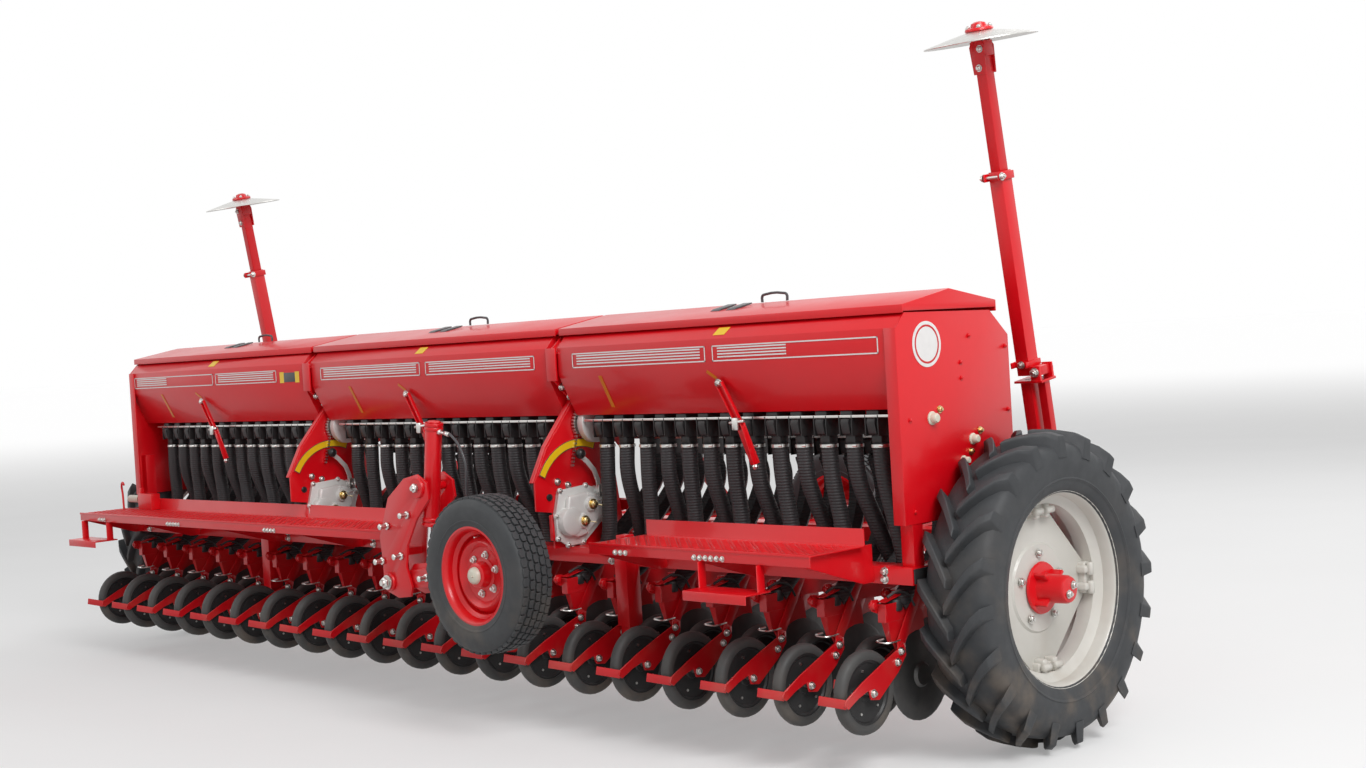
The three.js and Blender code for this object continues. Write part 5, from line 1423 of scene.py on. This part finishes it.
ends, nuts = [], []
for sign in (-1, 1):
    for y, z, radius in ((-0.358, 1.299, 0.02), (-0.11, 1.202, 0.017), (-0.175, 1.125, 0.014)):
        knob = turned([(0.0, END_FACE_X), (radius * 1.3, END_FACE_X), (radius * 1.3, 2.952),
                       (radius, 2.955), (radius * 0.94, 2.972), (radius * 0.7, 2.977), (0.0, 2.978)], 24,
                      (0, y, z))
        ends.append(copies(knob, [Matrix() if sign > 0 else MIRROR_X]))
        nuts.append(((sign * 2.948, y + 0.05, z + 0.03), "+X" if sign > 0 else "-X"))
settle(joined(*ends), "shaft_end_knobs", "frame", CREAM, "rim_paint")
settle(bolts(nuts, 0.007), "shaft_end_bolts", "frame", BRASS, "zinc")

# ---- footboards and the front side -------------------------------------------------------------------------

BOARD_Y, BOARD_Z = -0.913, 0.84
bolt_rows = ((1.75, 3), (2.2, 6), (-0.9, 4), (-1.9, 5), (-2.7, 3))
rows = [((x + i * 0.03, BOARD_Y - 0.0005, 0.811), "-Y") for x, count in bolt_rows for i in range(count)]
settle(bolts(rows, 0.0055), "footboard_bolts", "frame", ZINC, "zinc")
STUD_PITCH = 0.03
STUD_ROWS = 10
stud = plate([(-0.012, 0.0), (-0.006, -0.0035), (0.006, -0.0035), (0.012, 0.0), (0.006, 0.0035),
              (-0.006, 0.0035)], "Z", (0.0, 0.0024), 0.0009, 1)
stud_spots = []
for x0, x1 in ((1.61, 2.77), (-2.93, 0.11)):
    for i in range(int((x1 - x0) / STUD_PITCH)):
        for k in range(STUD_ROWS):
            lean = math.pi / 4 if (i + k) % 2 else -math.pi / 4
            stud_spots.append(shifted(x0 + (i + 0.5) * STUD_PITCH, -0.893 + k * 0.027, BOARD_Z)
                              @ Matrix.Rotation(lean, 4, "Z"))
settle(copies(stud, stud_spots), "footboard_studs", "frame", RED, "red_paint")
rims = [block((x0, BOARD_Y - 0.004, BOARD_Z - 0.006), (x1, BOARD_Y + 0.002, BOARD_Z + 0.005), 0.002)
        for x0, x1 in ((1.59, 2.79), (-2.948, 0.13))]
brackets = [block((-2.72, -0.66, BOARD_Z + 0.001), (-2.56, -0.6, 0.935), 0.004),
            block((-2.74, -0.64, BOARD_Z + 0.001), (-2.72, -0.615, 0.965), 0.003)]
settle(joined(*rims, *brackets), "footboard_trim", "frame", RED, "red_paint")
switch = turned([(0.0, -0.13), (0.018, -0.13), (0.022, -0.124), (0.022, -0.02), (0.026, -0.014),
                 (0.026, 0.0), (0.0, 0.0)], 24, (-2.74, -0.63, 0.9))
settle(switch, "board_cylinder", "frame", CREAM, "rim_paint")
handle = hose([(-2.9, -0.66, 0.842), (-2.9, -0.662, 0.93), (-2.895, -0.668, 0.985), (-2.872, -0.672, 1.0),
               (-2.858, -0.672, 0.985)], 0.006, 8, 5)
settle(handle, "board_handle", "frame", RED, "red_paint")

ribs = []
for hopper, middle in HOPPER_MIDDLES:
    for i in range(-3, 4):
        x = middle + i * 0.26
        ribs.append(block((x - 0.018, 0.1565, 1.47), (x + 0.018, 0.167, 1.578), 0.005))
settle(joined(*ribs), "hopper_front_ribs", "frame", RED, "red_paint")
lamps = [block((x - 0.045, 0.6145, 0.703), (x + 0.045, 0.622, 0.743), 0.003)
         for x in (-2.65, -1.15, 1.15, 2.65)]
settle(joined(*lamps), "front_reflectors", "frame", AMBER, "rim_paint")
for side, sign in SIDES:
    cover = plate([(0.0, 0.76), (-0.1, 0.76), (-0.175, 1.1), (-0.17, 1.24), (-0.12, 1.27), (-0.06, 1.24),
                   (-0.04, 1.1)], "X", (2.855, 2.878), 0.006, 3)
    band = plate([(-0.01, 0.8), (-0.09, 0.8), (-0.15, 1.1), (-0.145, 1.21), (-0.075, 1.21), (-0.06, 1.1)],
                 "X", (2.846, 2.857), 0.004, 2)
    settle(copies(joined(cover, band), [Matrix() if sign > 0 else MIRROR_X]), "drive_chain_cover_" + side,
           "frame", RED, "red_paint")


# ---- floor and light ---------------------------------------------------------------------------------------

FLOOR_SIZE = 900
GLOW_START, GLOW_FULL = 9.0, 45.0
WORLD_ON_OBJECT, WORLD_SEEN = 0.45, 1.0
LAMP_AIM = (0, -0.5, 0.8)
# Name, place, watts and size of each soft lamp.
LAMPS = (("key", (10.0, -4.5, 8.0), 820.0, 5.0), ("fill", (-6.0, -9.0, 7.0), 150.0, 6.0),
         ("back", (2.0, 8.0, 9.0), 320.0, 7.0))


def studio_rays(tree):
    """1 for rays from the camera, off metal or through glass, and 0 for those that light the object."""
    rays = tree.nodes.new("ShaderNodeLightPath")
    share = rays.outputs["Is Camera Ray"]
    for name in ("Is Glossy Ray", "Is Transmission Ray"):
        either = tree.nodes.new("ShaderNodeMath")
        either.operation = "MAXIMUM"
        tree.links.new(share, either.inputs[0])
        tree.links.new(rays.outputs[name], either.inputs[1])
        share = either.outputs[0]
    return share


def studio():
    """A pale floor that keeps the shadow, a pale world, and soft lamps at a plain level."""
    bpy.ops.object.select_all(action="DESELECT")
    bpy.ops.mesh.primitive_plane_add(size=FLOOR_SIZE, location=(0, 0, 0))
    floor = bpy.context.active_object
    floor.name = "studio_floor"
    finish = Finish("floor_paint", 0.9, specular=0.1)
    finish.feed("Base Color", finish.mix(finish.noise(0.6, 3.0), colour(0.64, 0.64, 0.64),
                                         colour(0.6, 0.6, 0.6)))
    seen = Signal(finish, studio_rays(finish.tree))
    distance = finish.node("ShaderNodeVectorMath", {"operation": "LENGTH"}, {0: finish.place}, "Value")
    glow = finish.mix(distance.between(GLOW_START, GLOW_FULL), colour(0.28, 0.28, 0.28),
                      colour(0.68, 0.68, 0.68))
    finish.feed("Emission Color", finish.mix(seen, colour(0, 0, 0), glow))
    finish.shader.inputs["Emission Strength"].default_value = 1.0
    floor.data.materials.append(finish.material)

    world = bpy.data.worlds.new("studio_world")
    bpy.context.scene.world = world
    world.use_nodes = True
    tree = world.node_tree
    background = tree.nodes["Background"]
    strength = tree.nodes.new("ShaderNodeMapRange")
    tree.links.new(studio_rays(tree), strength.inputs[0])
    strength.inputs[3].default_value = WORLD_ON_OBJECT
    strength.inputs[4].default_value = WORLD_SEEN
    tree.links.new(strength.outputs[0], background.inputs["Strength"])
    background.inputs["Color"].default_value = (1.0, 1.0, 1.0, 1.0)

    for name, place, power, size in LAMPS:
        bpy.ops.object.light_add(type="AREA", location=place)
        lamp = bpy.context.active_object
        lamp.name = name
        lamp.data.energy = power
        lamp.data.size = size
        aim = Vector(LAMP_AIM) - Vector(place)
        lamp.rotation_mode = "QUATERNION"
        lamp.rotation_quaternion = aim.to_track_quat("-Z", "Y")
    bpy.context.scene.view_settings.view_transform = "Standard"


studio()
